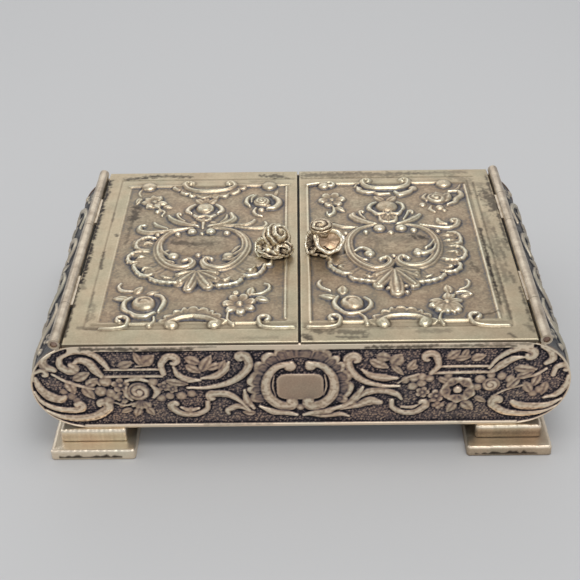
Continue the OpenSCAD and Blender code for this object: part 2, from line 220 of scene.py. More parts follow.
class Relief:
    """A raster of heights over a flat rectangle that starts at (left, low), in millimetres."""

    def __init__(self, left, low, width, depth, lean, cell=0.25):
        self.x = left + np.arange(int(width / cell) + 2) * cell
        self.y = low + np.arange(int(depth / cell) + 2) * cell
        self.cell, self.lean, self.flip, self.grow, self.taper = cell, lean, 1, 1.0, 1.0
        self.z = np.zeros((len(self.y), len(self.x)), np.float32)

    def near(self, p, height, reach):
        """The cells within reach of the points, and the points once they are flipped and moved forward."""
        p = np.atleast_2d(np.asarray(p, float)) * [self.flip, 1] - [0, self.lean * height]
        i = np.searchsorted(self.x, [p[:, 0].min() - reach, p[:, 0].max() + reach])
        j = np.searchsorted(self.y, [p[:, 1].min() - reach, p[:, 1].max() + reach])
        return (slice(*j), slice(*i)), p

    def raise_to(self, cells, height):
        """Keeps the higher of what is there and what is added."""
        self.z[cells] = np.maximum(self.z[cells], height)

    def around(self, x, y, turn, reach, height):
        """Cells round one point, with their offsets in axes turned by an angle in degrees."""
        cells, p = self.near((x, y), height, reach)
        u = (self.x[cells[1]][None, :] - p[0, 0]) * self.flip
        v = self.y[cells[0]][:, None] - p[0, 1]
        a = np.radians(turn)
        return cells, u * np.cos(a) + v * np.sin(a), -u * np.sin(a) + v * np.cos(a)

    def bead(self, points, width, height, groove=0.0, gap=0.3):
        """A round bead along a curve; groove sinks a channel between its middle and its edges."""
        path, share = spline(points, gap)
        marks = np.linspace(0, 1, np.size(width))
        width = np.interp(share, marks, np.atleast_1d(width)) ** self.taper * self.grow
        height = np.interp(share, np.linspace(0, 1, np.size(height)), np.atleast_1d(height))
        cells, path = self.near(path, height.max(), width.max() + 0.1)
        u = self.x[cells[1]][None, :, None] - path[:, 0]
        v = self.y[cells[0]][:, None, None] - path[:, 1]
        q = (u * u + v * v) / width**2
        best = q.argmin(2)
        q = np.sqrt(np.take_along_axis(q, best[..., None], 2)[..., 0])
        self.raise_to(cells, height[best] * dome(q) * (1 - groove * np.exp(-((q - 0.42) / 0.16) ** 2)))

    def ball(self, x, y, radius, height, squash=1.0, turn=0):
        """A dome over a circle, or over an oval that is squashed across its turn."""
        radius = radius * self.grow
        cells, u, v = self.around(x, y, turn, radius * max(1, squash) + 0.2, height)
        self.raise_to(cells, height * dome(np.hypot(u / radius, v / (radius * squash))))

    def leaf(self, x, y, turn, length, half, height, bend=0.0, vein=0.4):
        """A leaf from its root: its half width is a sine that peaks near the middle, with a sunk midrib."""
        half = half * self.grow
        cells, u, v = self.around(x, y, turn, length + half, height)
        t = np.clip(u / length, 1e-4, 1)
        v = v - bend * length * t * t
        edge = half * np.sin(np.pi * t**0.8) ** 0.75 + 1e-3
        rib = vein * np.exp(-((v / (0.25 * half)) ** 2)) * (t < 0.92)
        lift = height * dome(v / edge) * (0.7 + 0.3 * np.sin(np.pi * t)) * (1 - rib)
        self.raise_to(cells, np.where((u > 0) & (u < length), lift, 0))

    def flower(self, x, y, radius, petals, height, turn=0, eye=0.28):
        """An open flower: petals that rise from a low middle to their rims, round a small eye."""
        cells, u, v = self.around(x, y, 0, radius * 1.15, height)
        d, a = np.hypot(u, v), np.arctan2(v, u) - np.radians(turn)
        wave = np.cos(a * petals / 2) ** 2
        q = d / (radius * (0.7 + 0.3 * wave**0.5))
        cup = (0.3 + 0.7 * np.clip(q, 0, 1) ** 1.6) * np.clip((1.04 - q) / 0.2, 0, 1) ** 0.5
        cup = cup * (1 - 0.45 * (1 - wave) ** 5) * (1 - 0.16 * np.cos(a * petals * 3) ** 2 * (q < 0.85))
        self.raise_to(cells, height * np.maximum(cup, 0.75 * dome(d / (eye * radius))))

    def rose(self, x, y, radius, height, turn=0, pitch=0.42, squash=1.0):
        """A bud whose petals wind inwards: a dome cut by a spiral groove."""
        cells, u, v = self.around(x, y, turn, radius * max(1, squash) + 0.2, height)
        d, a = np.hypot(u, v / squash) / radius, np.arctan2(v / squash, u)
        coil = np.mod(d / pitch + a / (2 * np.pi), 1.0)
        cut = 0.42 * np.exp(-(((coil - 0.5) / 0.17) ** 2)) * (d > 0.12)
        self.raise_to(cells, height * dome(d) ** 0.7 * (1 - cut))

    def shell(self, x, y, turn, radius, height, flutes=5, spread=105, deep=0.55):
        """A lobe of a shell that faces an angle: a fluted cup whose scalloped rim stands highest."""
        cells, u, v = self.around(x, y, turn, radius * 1.15, height)
        d, a = np.hypot(u, v) / radius, np.degrees(np.arctan2(v, u))
        wave = np.cos(np.radians(a * flutes * 180 / spread))
        q = d / (1 + 0.07 * wave)
        cup = (1 - deep + deep * np.clip(q, 0, 1) ** 3) * np.clip((1.05 - q) / 0.2, 0, 1) ** 0.5
        cup = cup * (1 - 0.14 * (1 - wave) * (q < 0.9)) * np.clip((spread - np.abs(a)) / 14, 0, 1)
        self.raise_to(cells, height * cup)

    def ruffle(self, x, y, inner, outer, first, last, lobes, height, rim=1.0, sheet=0.5, lip=1.0):
        """A ruffled band round a point between two angles: a fluted sheet with a thick scalloped rim."""
        cells, u, v = self.around(x, y, 0, outer + rim, height)
        d = np.hypot(u, v)
        share = np.mod(np.degrees(np.arctan2(v, u)) - first, 360) / (last - first)
        uneven = share + 0.016 * np.sin(19 * share + 1) + 0.009 * np.sin(43 * share)
        lobe = np.abs(np.sin(np.pi * lobes * np.clip(uneven, 0, 1)))
        ends = np.clip(share / 0.04, 0, 1) * np.clip((1 - share) / 0.04, 0, 1)
        swell = 0.03 * np.sin(11 * share + 2)
        band = (outer - inner) * (0.72 + swell + 0.28 * lobe**0.7) * (0.72 + 0.28 * ends)
        reach = inner + band - rim * 0.6
        edge = dome((d - reach) / rim) * (0.66 + 0.22 * lobe + 0.12 * np.sin(31 * share)) * lip
        up = np.clip((d - inner) / np.maximum(reach - inner, 0.1), 0, 1)
        flutes = np.cos(2 * np.pi * lobes * 2 * uneven + 2.6 * np.sin(2 * np.pi * lobes * uneven))
        fill = sheet * (0.55 + 0.45 * up + 0.16 * flutes * np.sin(np.pi * up)) * (d > inner) * (d < reach)
        self.raise_to(cells, height * np.maximum(edge, fill) * ends**0.3 * (share < 1))

    def finger(self, x, y, turn, length, half, height, curl=0.0):
        """A rounded lobe of a palmette: a bead that widens from its root to a blunt tip."""
        a = np.radians(turn)
        ahead, aside = np.array([np.cos(a), np.sin(a)]), np.array([-np.sin(a), np.cos(a)])
        path = [np.array([x, y]) + ahead * length * t + aside * curl * length * t * t
            for t in (0.1, 0.4, 0.72, 1.0)]
        self.bead(path, [0.35 * half, 0.7 * half, half, 0.85 * half], [0.7 * height, height, height], 0.3)


def blur(z, sigma):
    """Gaussian blur: a weighted sum of shifted copies along each axis, the edge kept as it is."""
    n = max(1, int(2.5 * sigma))
    weights = np.exp(-0.5 * (np.arange(-n, n + 1) / sigma) ** 2)
    weights /= weights.sum()
    for axis in (0, 1):
        wide = np.pad(z, [(n, n) if a == axis else (0, 0) for a in (0, 1)], mode="edge")
        z = sum(w * np.take(wide, np.arange(z.shape[axis]) + i, axis) for i, w in enumerate(weights))
    return z


def between(field, i0, j0, s, t):
    """Value among four cells of a field: a share s of the way across and a share t of the way up."""
    near = field[j0, i0] * (1 - s) + field[j0, i0 + 1] * s
    far = field[j0 + 1, i0] * (1 - s) + field[j0 + 1, i0 + 1] * s
    return near * (1 - t) + far * t


def sample(relief, field, x, y):
    """Value of a raster field at points, blended between the four cells round each."""
    i = np.clip((x - relief.x[0]) / relief.cell, 0, len(relief.x) - 1.001)
    j = np.clip((y - relief.y[0]) / relief.cell, 0, len(relief.y) - 1.001)
    i0, j0 = i.astype(int), j.astype(int)
    return between(field, i0, j0, i - i0, j - j0)


def smooth_noise(shape, cell_count, seed):
    """Soft random field from -1 to 1: random values on a coarse lattice, blended between."""
    random = np.random.default_rng(seed)
    rough = random.uniform(-1, 1, (cell_count[0] + 2, cell_count[1] + 2))
    j = np.linspace(0, cell_count[0], shape[0])[:, None]
    i = np.linspace(0, cell_count[1], shape[1])[None, :]
    j0, i0 = j.astype(int), i.astype(int)
    s, t = i - i0, j - j0
    s, t = s * s * (3 - 2 * s), t * t * (3 - 2 * t)
    return between(rough, i0, j0, s, t)


print("relief tools ready")

# %% [markdown]
# The left lid, read from the picture: a cartouche of two C-scrolls in the middle with a plain field,
# shells under it, a rosebud with acanthus leaves above it, flowers in the corners and a scroll at the
# front and back.
# %% Ornament of the left lid
def draw_all(relief, beads=(), balls=(), leaves=(), shells=(), groove=0.0):
    """Draws lists of forms: beads as (points, half width, height), balls as (x, y, radius, height),
    leaves as (x, y, turn, length, half width, height) and shells as (x, y, turn, radius, height, flutes)."""
    for points, width, height in beads:
        relief.bead(points, width, height, groove)
    for x, y, radius, height in balls:
        relief.ball(x, y, radius, height)
    for row in leaves:
        relief.leaf(*row)
    for row in shells:
        relief.shell(*row)


def frilled(relief, rims):
    """Crumpled rims of shell lobes: round beads along the paths, broken by small swellings."""
    for path in rims:
        length = np.hypot(*np.diff(np.array(path, float), axis=0).T).sum()
        k = np.arange(max(4, int(length / 0.55)))
        swell = 1 + 0.20 * np.sin(1.7 * k + path[0][0]) + 0.12 * np.sin(2.9 * k)
        ends = np.clip(np.minimum(k + 1, len(k) - k) / 4, 0.45, 1)
        relief.bead(path, 0.85 * swell * ends, 1.25 * (0.8 + 0.2 * swell) * (0.6 + 0.4 * ends))


def left_lid_ornament(r):
    """Every form on the left lid, in millimetres from its front left corner."""
    # scroll at the back, with scalloped leaves that hang from it
    r.bead(volute([(52, 109.2), (53.3, 106.3), (50, 103.4), (45, 102.4), (39, 102.4), (34.6, 104.3),
                (32.8, 107.5)], 1.9, -1, 4.4), [0.9, 1, 1.25, 1.3, 1.3, 1.2, 1.1, 0.9, 0.7], 1.45, 0.25)
    r.bead(volute([(45, 102.4), (50, 103.4), (53.3, 106), (53, 108.4)], 1.7, 1, 4.4), [1.2, 1.2, 1, 0.7],
        1.4, 0.2)
    draw_all(r, balls=[(36, 108.9, 1, 1.3), (51, 107.8, 1.1, 1.3)])
    r.ruffle(43.2, 113.6, 10.5, 17.6, 204, 336, 8, 1.05, 1)
    # rosebud in its cup, with the leaves beside and above it
    r.rose(42.3, 88.8, 3.7, 1.6, 90, 0.8)
    draw_all(r, balls=[(42.3, 89, 3, 1.6)],
        beads=[([(38.2, 91.2), (36.2, 89), (35.4, 86.5), (37, 84.6)], [0.5, 1, 1.1, 0.6], 1.1),
            ([(46.6, 91.2), (48.6, 89), (49.2, 86.5), (47.6, 84.6)], [0.5, 1, 1.1, 0.6], 1.1),
            ([(38.2, 83), (40, 81.6), (42.4, 82.4), (44.8, 81.6), (46.8, 83)], [0.6, 1, 0.9, 1, 0.6], 1.2),
            ([(39.6, 80), (42.3, 78.6), (45, 80)], [0.6, 0.8, 0.6], 0.9),
            ([(42.3, 80), (42.3, 73.5)], [1, 0.5], 0.75)],
        leaves=[(41.2, 92, 128, 5.2, 1.5, 0.8), (43.6, 92, 52, 5.2, 1.5, 0.8),
            (42.4, 92.6, 90, 4.6, 1.3, 0.7), (40, 78, 200, 3.6, 1, 0.7), (44.8, 78, -20, 3.6, 1, 0.7)])
    # daisy and its buds, back left
    for turn, length in [(100, 5.3), (66, 5), (140, 4.6), (178, 4.6), (-10, 4.6), (-60, 3.8), (-128, 3.8)]:
        r.leaf(21.4 + np.cos(np.radians(turn)), 93.4 + np.sin(np.radians(turn)), turn, length, 1.75, 1.3, 0,
            0.15)
    draw_all(r, balls=[(21.5, 93.6, 1.25, 1.3), (23.2, 86.3, 0.9, 0.9)],
        beads=[([(22.4, 90.6), (24.3, 87.6), (26.2, 85.6), (25.4, 83)], [0.4, 0.6, 0.5], 0.7),
            ([(15.2, 104), (14.2, 100.8), (15.2, 98)], [0.5, 0.6, 0.3], 0.5)],
        leaves=[(15.6, 97.4, -108, 5.2, 1.3, 1), (23.4, 90.8, 200, 4.6, 1.1, 0.9),
            (25, 90.4, -12, 4.2, 1.1, 0.9), (24.6, 88.2, -118, 3.6, 0.9, 0.8)])
    # coiled rose, back right
    r.rose(65, 93.6, 3.5, 1.55, 40, 0.36)
    draw_all(r, beads=[([(61.4, 98.6), (59.2, 96), (58.8, 92.6), (60.2, 90)], [0.4, 0.9, 1, 0.5], 1.05),
            ([(62.6, 98.6), (61, 96), (60.8, 93.4)], [0.3, 0.7, 0.4], 0.8),
            ([(69.4, 97.4), (71.6, 94.6), (71.8, 91.4), (70, 88.6), (67.4, 87.6)],
                [0.5, 1.2, 1.4, 1.3, 0.6], 1.25),
            ([(66.4, 98.6), (69, 98), (70, 95.4)], [0.4, 0.8, 0.4], 0.85)])
    draw_all(r, beads=[([(62.8, 88.4), (62, 85.5), (63, 83), (65.4, 82)], [0.4, 0.9, 0.7, 0.3], 0.9)],
        balls=[(64.9, 87, 1.3, 1)], leaves=[(70, 96.5, 78, 6.5, 0.8, 0.6), (69, 90.5, 192, 3.6, 0.9, 0.9)])
    # acanthus leaves that spring from the stem
    draw_all(r, groove=0.3,
        beads=[([(40.5, 75), (36.5, 76.2), (32.5, 78.2), (29.6, 80.6), (28.2, 83)],
                [0.5, 1.2, 1.5, 1.2, 0.7], 1.2),
            (volute([(35, 78.6), (32.6, 81), (31.6, 83.4)], 1, -1, 3.4), [0.5, 0.9, 0.7, 0.5], 1),
            ([(44.5, 75), (48.5, 76), (52, 77.8), (54, 80.4), (53, 84.4)], [0.5, 1.2, 1.6, 1.5, 0.8], 1.2),
            ([(49, 77.5), (51, 80), (51.4, 83)], [0.5, 0.9, 0.5], 0.9),
            ([(38.5, 73.6), (33, 72.6), (27, 71.2), (21.5, 70.6), (18, 72.2), (17.8, 75.2), (19.6, 76)],
                [0.4, 1, 1.3, 1.5, 1.3, 0.9, 0.6], 1.15),
            ([(28.5, 73.4), (24.5, 75.6), (23, 77.6)], [0.5, 1.1, 0.6], 0.9),
            ([(46.5, 74), (52.5, 75.2), (58.5, 75.6), (61.6, 77.4), (62.4, 79)], [0.5, 1.1, 1.1, 0.9, 0.7],
                0.95), ([(55, 74), (60.5, 73.2), (65.4, 73.4), (67.2, 75.6), (66.6, 77.6)],
                [0.4, 0.8, 1, 0.8, 0.5], 0.85)])
    # cartouche: two C-scrolls with rolled ends, an inner line and small balls
    for path, width in [([(38.6, 73.6), (34.5, 73.5), (29.8, 70.8), (26.8, 65.5), (26.2, 59), (27.8, 53),
                    (31, 48.2), (35, 46.2), (38.6, 46.8), (40.3, 49.4), (39, 51.8), (36.8, 51.2)],
                [0.6, 0.8, 1.2, 1.5, 1.8, 2, 2, 1.7, 1.3, 1.1, 0.8]),
            ([(45.2, 73.8), (50, 73.8), (55.6, 71.4), (59.2, 66), (60, 59.5), (58, 52.8), (54.6, 47.6),
                    (50, 45.6), (46, 47), (44.2, 50), (45.2, 52.6), (47.2, 52)],
                [0.6, 0.8, 1.2, 1.6, 1.9, 2, 2, 1.8, 1.4, 1.1, 0.8])]:
        r.bead(path, width, [0.9, 0.9, 0.95, 1, 1.1, 1.35, 1.5, 1.5, 1.4, 1.3], 0.42)
    draw_all(r, beads=[([(28.4, 69), (27.2, 63), (28.4, 57), (31.4, 53.6)], [0.35, 0.45, 0.5, 0.9], 0.85),
            ([(55.4, 69.8), (58, 65), (58.2, 58.5), (55.4, 54.2)], [0.35, 0.45, 0.6, 0.9], 0.85),
            ([(51.5, 51.4), (55, 51), (58.8, 55.6)], [0.4, 0.8, 0.4], 1),
            ([(27.4, 55.6), (29.6, 51.2), (33.2, 49.6)], [0.3, 0.8, 0.4], 1)],
        balls=[(38.4, 71.3, 1.7, 1.5), (45.6, 71.4, 1.8, 1.5), (33, 69.3, 1.1, 1.1), (52, 69.9, 1.3, 1.1),
            (42.3, 69.3, 0.9, 0.9), (32.6, 54.1, 2, 1.35), (53.4, 53.8, 2.1, 1.4), (42, 54.3, 1.1, 1)],
        leaves=[(30.6, 58.4, -120, 4.4, 0.7, 0.8), (57.6, 61, 238, 6.5, 0.7, 0.8),
            (43.6, 53.8, -60, 3.2, 0.6, 0.7)])
    # shells round the lower half of the cartouche
    r.ruffle(43, 60.2, 18.6, 26.8, 166, 262, 6, 1.2, 1, 0.55, 0.6)
    r.ruffle(43, 60.2, 18.6, 27, 283, 342, 4, 1.2, 1, 0.55, 0.6)
    frilled(r, [[(25, 66.6), (21, 67), (18.2, 64), (18, 60.6), (20, 58.2), (23.6, 58)],
            [(24, 62.8), (21.6, 63), (20.4, 61)],
            [(23.6, 57), (19, 57), (16.2, 54.6), (16, 51.4), (17.6, 49.8), (20.4, 50.2)],
            [(23, 53.2), (20.4, 53.6), (19.4, 52.2)],
            [(19.6, 49), (18.6, 47.4), (20, 44), (22, 41.6), (24.6, 41), (27, 43)],
            [(25.4, 46), (22.8, 46), (22, 44.4)],
            [(24.8, 40.4), (26.6, 38.4), (29.4, 37), (33, 36.4), (36.4, 36.4)],
            [(29, 41), (31, 39.6), (33.4, 39.4)],
            [(69.6, 50.6), (69, 47.4), (67.4, 47.4), (66.6, 44.4), (64.8, 41.4), (61.2, 40.2),
                (58.6, 41.6)], [(63.6, 46.4), (62, 44), (60, 44.4)],
            [(59, 39.4), (58, 36.6), (55, 35), (52, 34.4), (49, 34.4)],
            [(55, 40), (53.4, 37.8), (51, 37.8)]])
    draw_all(r, beads=[([(23.8, 65.6), (21.6, 66.4), (19.4, 64.4)], [0.4, 0.7, 0.4], 0.9),
            ([(23.6, 60.8), (21.6, 62.8), (23, 64.4)], [0.3, 0.6, 0.3], 0.9)],
        balls=[(25.2, 68.8, 1, 1), (24.2, 66.4, 0.8, 0.9)],
        leaves=[(39.8, 43.8, 200, 4.8, 1.1, 1.2), (40, 42.8, 225, 4.8, 1, 1.1)])
    for turn, length, half in [(-150, 7, 1.3), (-122, 9, 1.5), (-96, 11.4, 1.7), (-68, 11, 1.9),
            (-44, 9.6, 1.7), (-22, 7.6, 1.4)]:
        r.finger(42, 44.4, turn, length, half * 1.25, 1.45, 0.08 * np.sign(turn + 84))
    # rosebud, front left
    r.rose(24.8, 24.4, 4.2, 1.65, 200, 0.62)
    draw_all(r, balls=[(25.6, 23.4, 3.2, 1.6)],
        beads=[([(20.4, 27.4), (18.2, 24.6), (18.3, 21), (20.2, 18.6)], [0.5, 0.9, 1.1, 0.6], 1.1),
            ([(20.6, 18.8), (23, 16.6), (26.4, 16.2), (29.3, 18.2)], [0.5, 1.1, 1.2, 0.6], 1.15),
            ([(28.6, 28.8), (30.8, 27.8), (32, 25), (31.6, 21.6), (30.6, 19)], [0.5, 0.8, 1, 1, 0.5], 1),
            ([(20.2, 31), (16.6, 31.4), (14.8, 33.6), (15.4, 36)], [0.4, 0.8, 0.7, 0.4], 0.9)],
        leaves=[(20, 26.4, 172, 6.4, 1.4, 1.25), (21, 29.6, 62, 5.2, 1.5, 0.85), (25, 29, 20, 5, 1, 0.9)])
    # open flower, front right
    r.flower(58.8, 23.2, 6.1, 7, 1.5, 20)
    draw_all(r, balls=[(58.9, 23.3, 1.2, 1.35)],
        beads=[([(63.4, 28.2), (66.4, 29), (68.9, 31.4), (69, 34), (67.4, 35)], [0.4, 0.7, 0.8, 0.6, 0.4],
                0.9)],
        leaves=[(62, 28, 78, 5.4, 1.6, 1.2), (64, 26.4, -14, 5.4, 1.5, 1.25),
            (57.4, 28.4, 100, 2.8, 1.2, 1.1)])
    # arch at the front, with its fan
    r.ruffle(43, 8.6, 6.6, 12.6, 14, 166, 9, 1, 0.8)
    r.bead(volute([(43, 16.4), (38.8, 15.4), (35.4, 13.2)], 1.9, 1, 4.6), [1.2, 1.2, 1.1, 0.7], 1.35, 0.3)
    r.bead(volute([(43, 16.4), (47.4, 15.4), (51, 13.4)], 1.9, -1, 4.6), [1.2, 1.2, 1.1, 0.7], 1.35, 0.3)
    draw_all(r, balls=[(35.8, 11.6, 1.8, 1.5), (50.2, 11.8, 1.8, 1.5)],
        beads=[(volute([(11.5, 9.3), (16.4, 9.4), (20, 10.6), (20.6, 13.6)], 2.5, 1, 4.6),
                [0.5, 0.8, 1, 0.8, 0.7], 1.2),
            (volute([(78, 9.2), (71.5, 9.1), (67, 10), (65.8, 13.2)], 2.4, -1, 4.6),
                [0.5, 0.8, 1, 0.9, 0.7], 1.2),
            ([(29.3, 15.8), (29.6, 13), (28.2, 10.6)], [0.4, 0.6, 0.8], 0.9),
            ([(55, 18), (55, 13.6), (57, 10.9)], [0.4, 0.6, 0.8], 0.9),
            ([(21.6, 11.6), (28.4, 11.6)], 0.7, 0.75), ([(57.6, 11.6), (65.2, 11.6)], 0.7, 0.75),
            ([(9.8, 106.5), (15, 106.5)], 0.95, 0.8), ([(21, 106.5), (31.4, 106.5)], 0.95, 0.8),
            ([(55.2, 106.5), (65, 106.5)], 0.95, 0.8), ([(70.6, 106.6), (76, 106.8)], 0.7, 0.7),
            ([(74.9, 105.2), (74.9, 14.2)], 0.5, 0.62), ([(10.3, 104), (10.3, 13)], 0.4, 0.42)])
    draw_all(r, balls=[(17.8, 106.9, 2.9, 1.6), (67.8, 106.6, 2.9, 1.6)])


def right_lid_ornament(r):
    """Every form on the right lid, in millimetres from its front left corner."""
    # scroll at the back, with leaves that hang from it
    r.bead(volute([(36, 103.3), (31, 103.5), (27.4, 105.4), (26.4, 108.4)], 1.9, -1, 4.4),
        [1.3, 1.3, 1.2, 1, 0.8], 1.45, 0.25)
    r.bead(volute([(36, 103.3), (40.6, 103.6), (44.2, 105.6), (45.2, 108.6)], 1.9, 1, 4.4),
        [1.3, 1.3, 1.2, 1, 0.8], 1.45, 0.25)
    draw_all(r, balls=[(29.2, 109.3, 1.1, 1.3), (42.3, 109.3, 1.2, 1.3), (25, 102.6, 1.1, 1),
            (46.8, 102.6, 1.7, 1.2)],
        beads=[([(24, 104), (24.6, 101.2), (28, 99.8), (31, 99.6)], [0.5, 1, 1.2, 0.5], 1.1),
            ([(29.5, 99.4), (32.6, 98.2), (37, 98.4)], [0.5, 1, 0.5], 0.9),
            ([(39, 100), (41, 97.8), (44.4, 99.4), (46.5, 101.4)], [0.5, 1.4, 1.4, 0.6], 1.2),
            ([(24, 106.6), (23, 104)], [0.4, 0.6], 0.7)],
        leaves=[(34.4, 91.6, 128, 6.4, 1.6, 0.75), (35.4, 91.6, 50, 6.4, 1.6, 0.75)])
    # rosebud in its cup
    r.ball(35, 88.8, 3.9, 1.65)
    r.bead([(35, 90.6), (35, 86.5)], [0.3, 0.1], 1.72)
    draw_all(r, beads=[([(31, 91.4), (28.6, 89.6), (27.8, 86.8), (29, 84.8)], [0.4, 0.9, 1.1, 0.6], 1.1),
            ([(39.2, 91.4), (41.2, 89.8), (41.6, 87), (40.6, 85)], [0.4, 0.8, 0.8, 0.5], 1),
            ([(29.2, 84.6), (31, 82.4), (34, 82.8), (35, 81.6), (36.4, 82.8), (39, 82.4), (40.4, 84.4)],
                [0.6, 1, 0.8, 0.7, 0.8, 1, 0.6], 1.2), ([(33.4, 84.4), (33.4, 82.6)], [0.5, 0.4], 1.1),
            ([(36.4, 84.4), (36.4, 82.6)], [0.5, 0.4], 1.1),
            ([(31.6, 80.6), (32.2, 77.4), (34.4, 76.4)], [0.5, 0.9, 0.5], 0.85),
            ([(38.4, 80.6), (37.6, 77.4), (35.4, 76.4)], [0.5, 0.9, 0.5], 0.85)],
        leaves=[(35, 83.2, 246, 6.6, 1.5, 0.85), (35, 83.2, 294, 6.6, 1.5, 0.85),
            (35, 83.4, 270, 7.4, 1.2, 0.95)])
    # open flower with a deep middle, back left
    r.flower(13.2, 94.3, 5.6, 6, 1.4, 8, 0.22)
    draw_all(r, beads=[([(13.4, 89), (13.9, 86), (13.4, 83.4), (11.4, 82.2), (11, 84.6)],
                [0.4, 0.8, 0.9, 0.6, 0.4], 0.9)], leaves=[(14.4, 88.6, -42, 5.2, 1.3, 1.15)])
    # layered rose, back right
    draw_all(r,
        leaves=[(57.4, 91.4, 96, 8.2, 3.2, 1.4, 0.1, 0.15), (58.4, 91.6, 76, 7.8, 2.4, 1.3, -0.1, 0.3)])
    r.rose(55.6, 94.6, 3.6, 1.7, 60, 0.5, 1.2)
    draw_all(r, beads=[([(61, 99.6), (65, 99.8), (66, 96.6), (63.6, 93.6), (62.6, 91.2), (59.6, 89.4)],
                [0.5, 0.8, 1.3, 1.3, 1, 0.5], 0.95),
            ([(51.8, 97.6), (50.4, 95), (51.4, 92.4)], [0.5, 1, 0.5], 0.8),
            ([(53, 88.4), (52.2, 85.6), (54, 83.6)], [0.4, 0.9, 0.4], 0.7)],
        balls=[(49.6, 89.4, 1.3, 0.75), (56.2, 87.2, 1.6, 0.95), (57.8, 84.8, 0.9, 0.6)])
    # acanthus leaves that spring from the stem
    draw_all(r, groove=0.3,
        beads=[
            ([(30, 75), (26.6, 76.4), (22.8, 79), (21, 81.4), (21.4, 83)], [0.5, 1.3, 1.7, 1.5, 0.8], 1.25),
            (volute([(26, 79), (24.4, 81.6), (24, 84)], 0.9, -1, 3.4), [0.4, 0.8, 0.7, 0.5], 1),
            ([(38, 75), (42, 76.8), (45.2, 79.2), (47.6, 81.8)], [0.5, 1.3, 1.5, 0.8], 1.25),
            (volute([(41, 78.6), (42.4, 81.6), (43.2, 84)], 1.2, -1, 3.4), [0.4, 0.9, 0.8, 0.5], 1),
            (volute([(47, 74.4), (52, 72.8), (57, 71.9), (60.6, 73.2), (61.8, 76)], 1.6, 1, 4.2),
                [0.4, 0.9, 1.3, 1.4, 1.1, 0.8, 0.6], 1.2),
            ([(57.6, 74.4), (55, 76), (54.4, 78.4)], [0.5, 1.4, 0.7], 0.85),
            ([(22.5, 72.6), (17, 73.2), (13.4, 75)], [0.5, 1, 0.8], 0.9)])
    # cartouche
    for path, width in [([(31.8, 75), (27.4, 74.6), (22.4, 71.6), (19.2, 66), (18.6, 59.5), (19.6, 53),
                    (22.8, 47.4), (27.4, 44.4), (31.6, 45.4), (33.8, 48.8), (32.4, 51.8), (29.9, 50.6)],
                [0.6, 0.8, 1.2, 1.5, 1.8, 2, 2.1, 1.8, 1.4, 1.1, 0.8]),
            ([(38.8, 75.2), (43.6, 74.8), (48.4, 72), (51.8, 66.4), (52.6, 59.5), (50.8, 52.6), (47, 47.2),
                    (41.6, 45.6), (37.6, 47.2), (36.6, 50.2), (38.2, 52.6), (40.4, 51.2)],
                [0.6, 0.8, 1.2, 1.5, 1.8, 2, 2.1, 1.8, 1.4, 1.1, 0.8])]:
        r.bead(path, width, [0.9, 0.9, 0.95, 1, 1.1, 1.35, 1.5, 1.5, 1.4, 1.3], 0.42)
    draw_all(r, beads=[([(20.8, 56), (23.4, 58), (26.2, 56), (26.4, 53.4)], [0.4, 0.8, 1.2, 1.2], 1.2),
            ([(51.6, 60), (50.2, 56), (46.4, 54), (44.2, 56)], [0.4, 0.9, 1.2, 1.2], 1.2),
            ([(20.4, 53.6), (22.8, 50.4), (25, 49.6)], [0.4, 1, 0.5], 1.1),
            ([(47.6, 57.6), (49.4, 59.4), (51.2, 63)], [0.6, 0.6, 0.3], 0.9)],
        balls=[(31, 72.4, 2.2, 1.5), (39.4, 72.4, 2.1, 1.5), (25.6, 69.4, 1, 1), (44.2, 70.4, 1.3, 1),
            (35.2, 68.7, 1.2, 1), (26.2, 54.4, 1.9, 1.35), (44.4, 54.6, 1.9, 1.35), (35.1, 52.3, 1, 0.9),
            (53.4, 69.2, 1, 1), (17.8, 68.6, 0.9, 0.9)])
    # shells
    r.ruffle(35.4, 60, 18.6, 26.4, 282, 382, 7, 1.15, 1, 0.55, 0.6)
    r.ruffle(35.4, 60, 19, 27.2, 196, 258, 4, 1.2, 1, 0.55, 0.6)
    frilled(r, [[(57, 68.8), (60.4, 67.4), (61.4, 64), (60.6, 60.8), (57.6, 60.2)], [(55, 66), (59, 66.2)],
            [(55, 62.6), (59, 62.8)],
            [(56.4, 58.8), (60, 58.2), (62, 55), (61, 51), (58, 49.2), (54.6, 49.6), (52.4, 50.4)],
            [(55.4, 55), (58.4, 54.6), (58.8, 52.6)],
            [(58.4, 48.2), (59, 45), (57, 42.2), (54, 41.4), (51.6, 42.6)],
            [(54.4, 46.8), (55.6, 45), (53.6, 44)],
            [(53, 41), (51.4, 38.2), (48, 36.2), (44.4, 35.4), (42, 35.2)],
            [(48.6, 40.4), (47, 38.6), (45, 38.4)],
            [(10.2, 52.8), (11.4, 50), (11, 47), (13, 43.6), (16, 41.2), (19.4, 41.2)],
            [(16.6, 47), (14.8, 45.6), (16, 44)],
            [(17.6, 39.8), (19.6, 37.6), (23, 36.6), (26, 35.8), (29, 35.6)],
            [(23.4, 40.4), (25, 38.8), (27, 38.8)]])
    # palmette under the cartouche
    for turn, length, half, height in [(-158, 6.6, 1, 1.15), (-140, 8.6, 1.4, 1.25), (-118, 12.4, 1.7, 1.4),
            (-90, 15, 2, 1.6), (-62, 12.4, 1.7, 1.4), (-40, 9.6, 1.4, 1.25), (-20, 8.4, 1.2, 1.15)]:
        r.finger(34.6, 44.6, turn, length, half * 1.4, height, 0.06 * np.sign(turn + 90))
    draw_all(r, balls=[(29, 32.6, 1.1, 1.2), (31.6, 31.4, 1, 1.2), (34, 28.9, 1, 1.3), (36, 28.6, 1, 1.3),
            (38, 28.9, 0.9, 1.2), (38, 32.6, 0.9, 1.2), (40.4, 32.4, 1, 1.2), (28.4, 40, 1.2, 1.2),
            (42.6, 40.6, 1.2, 1.2), (30, 38, 0.9, 1)])
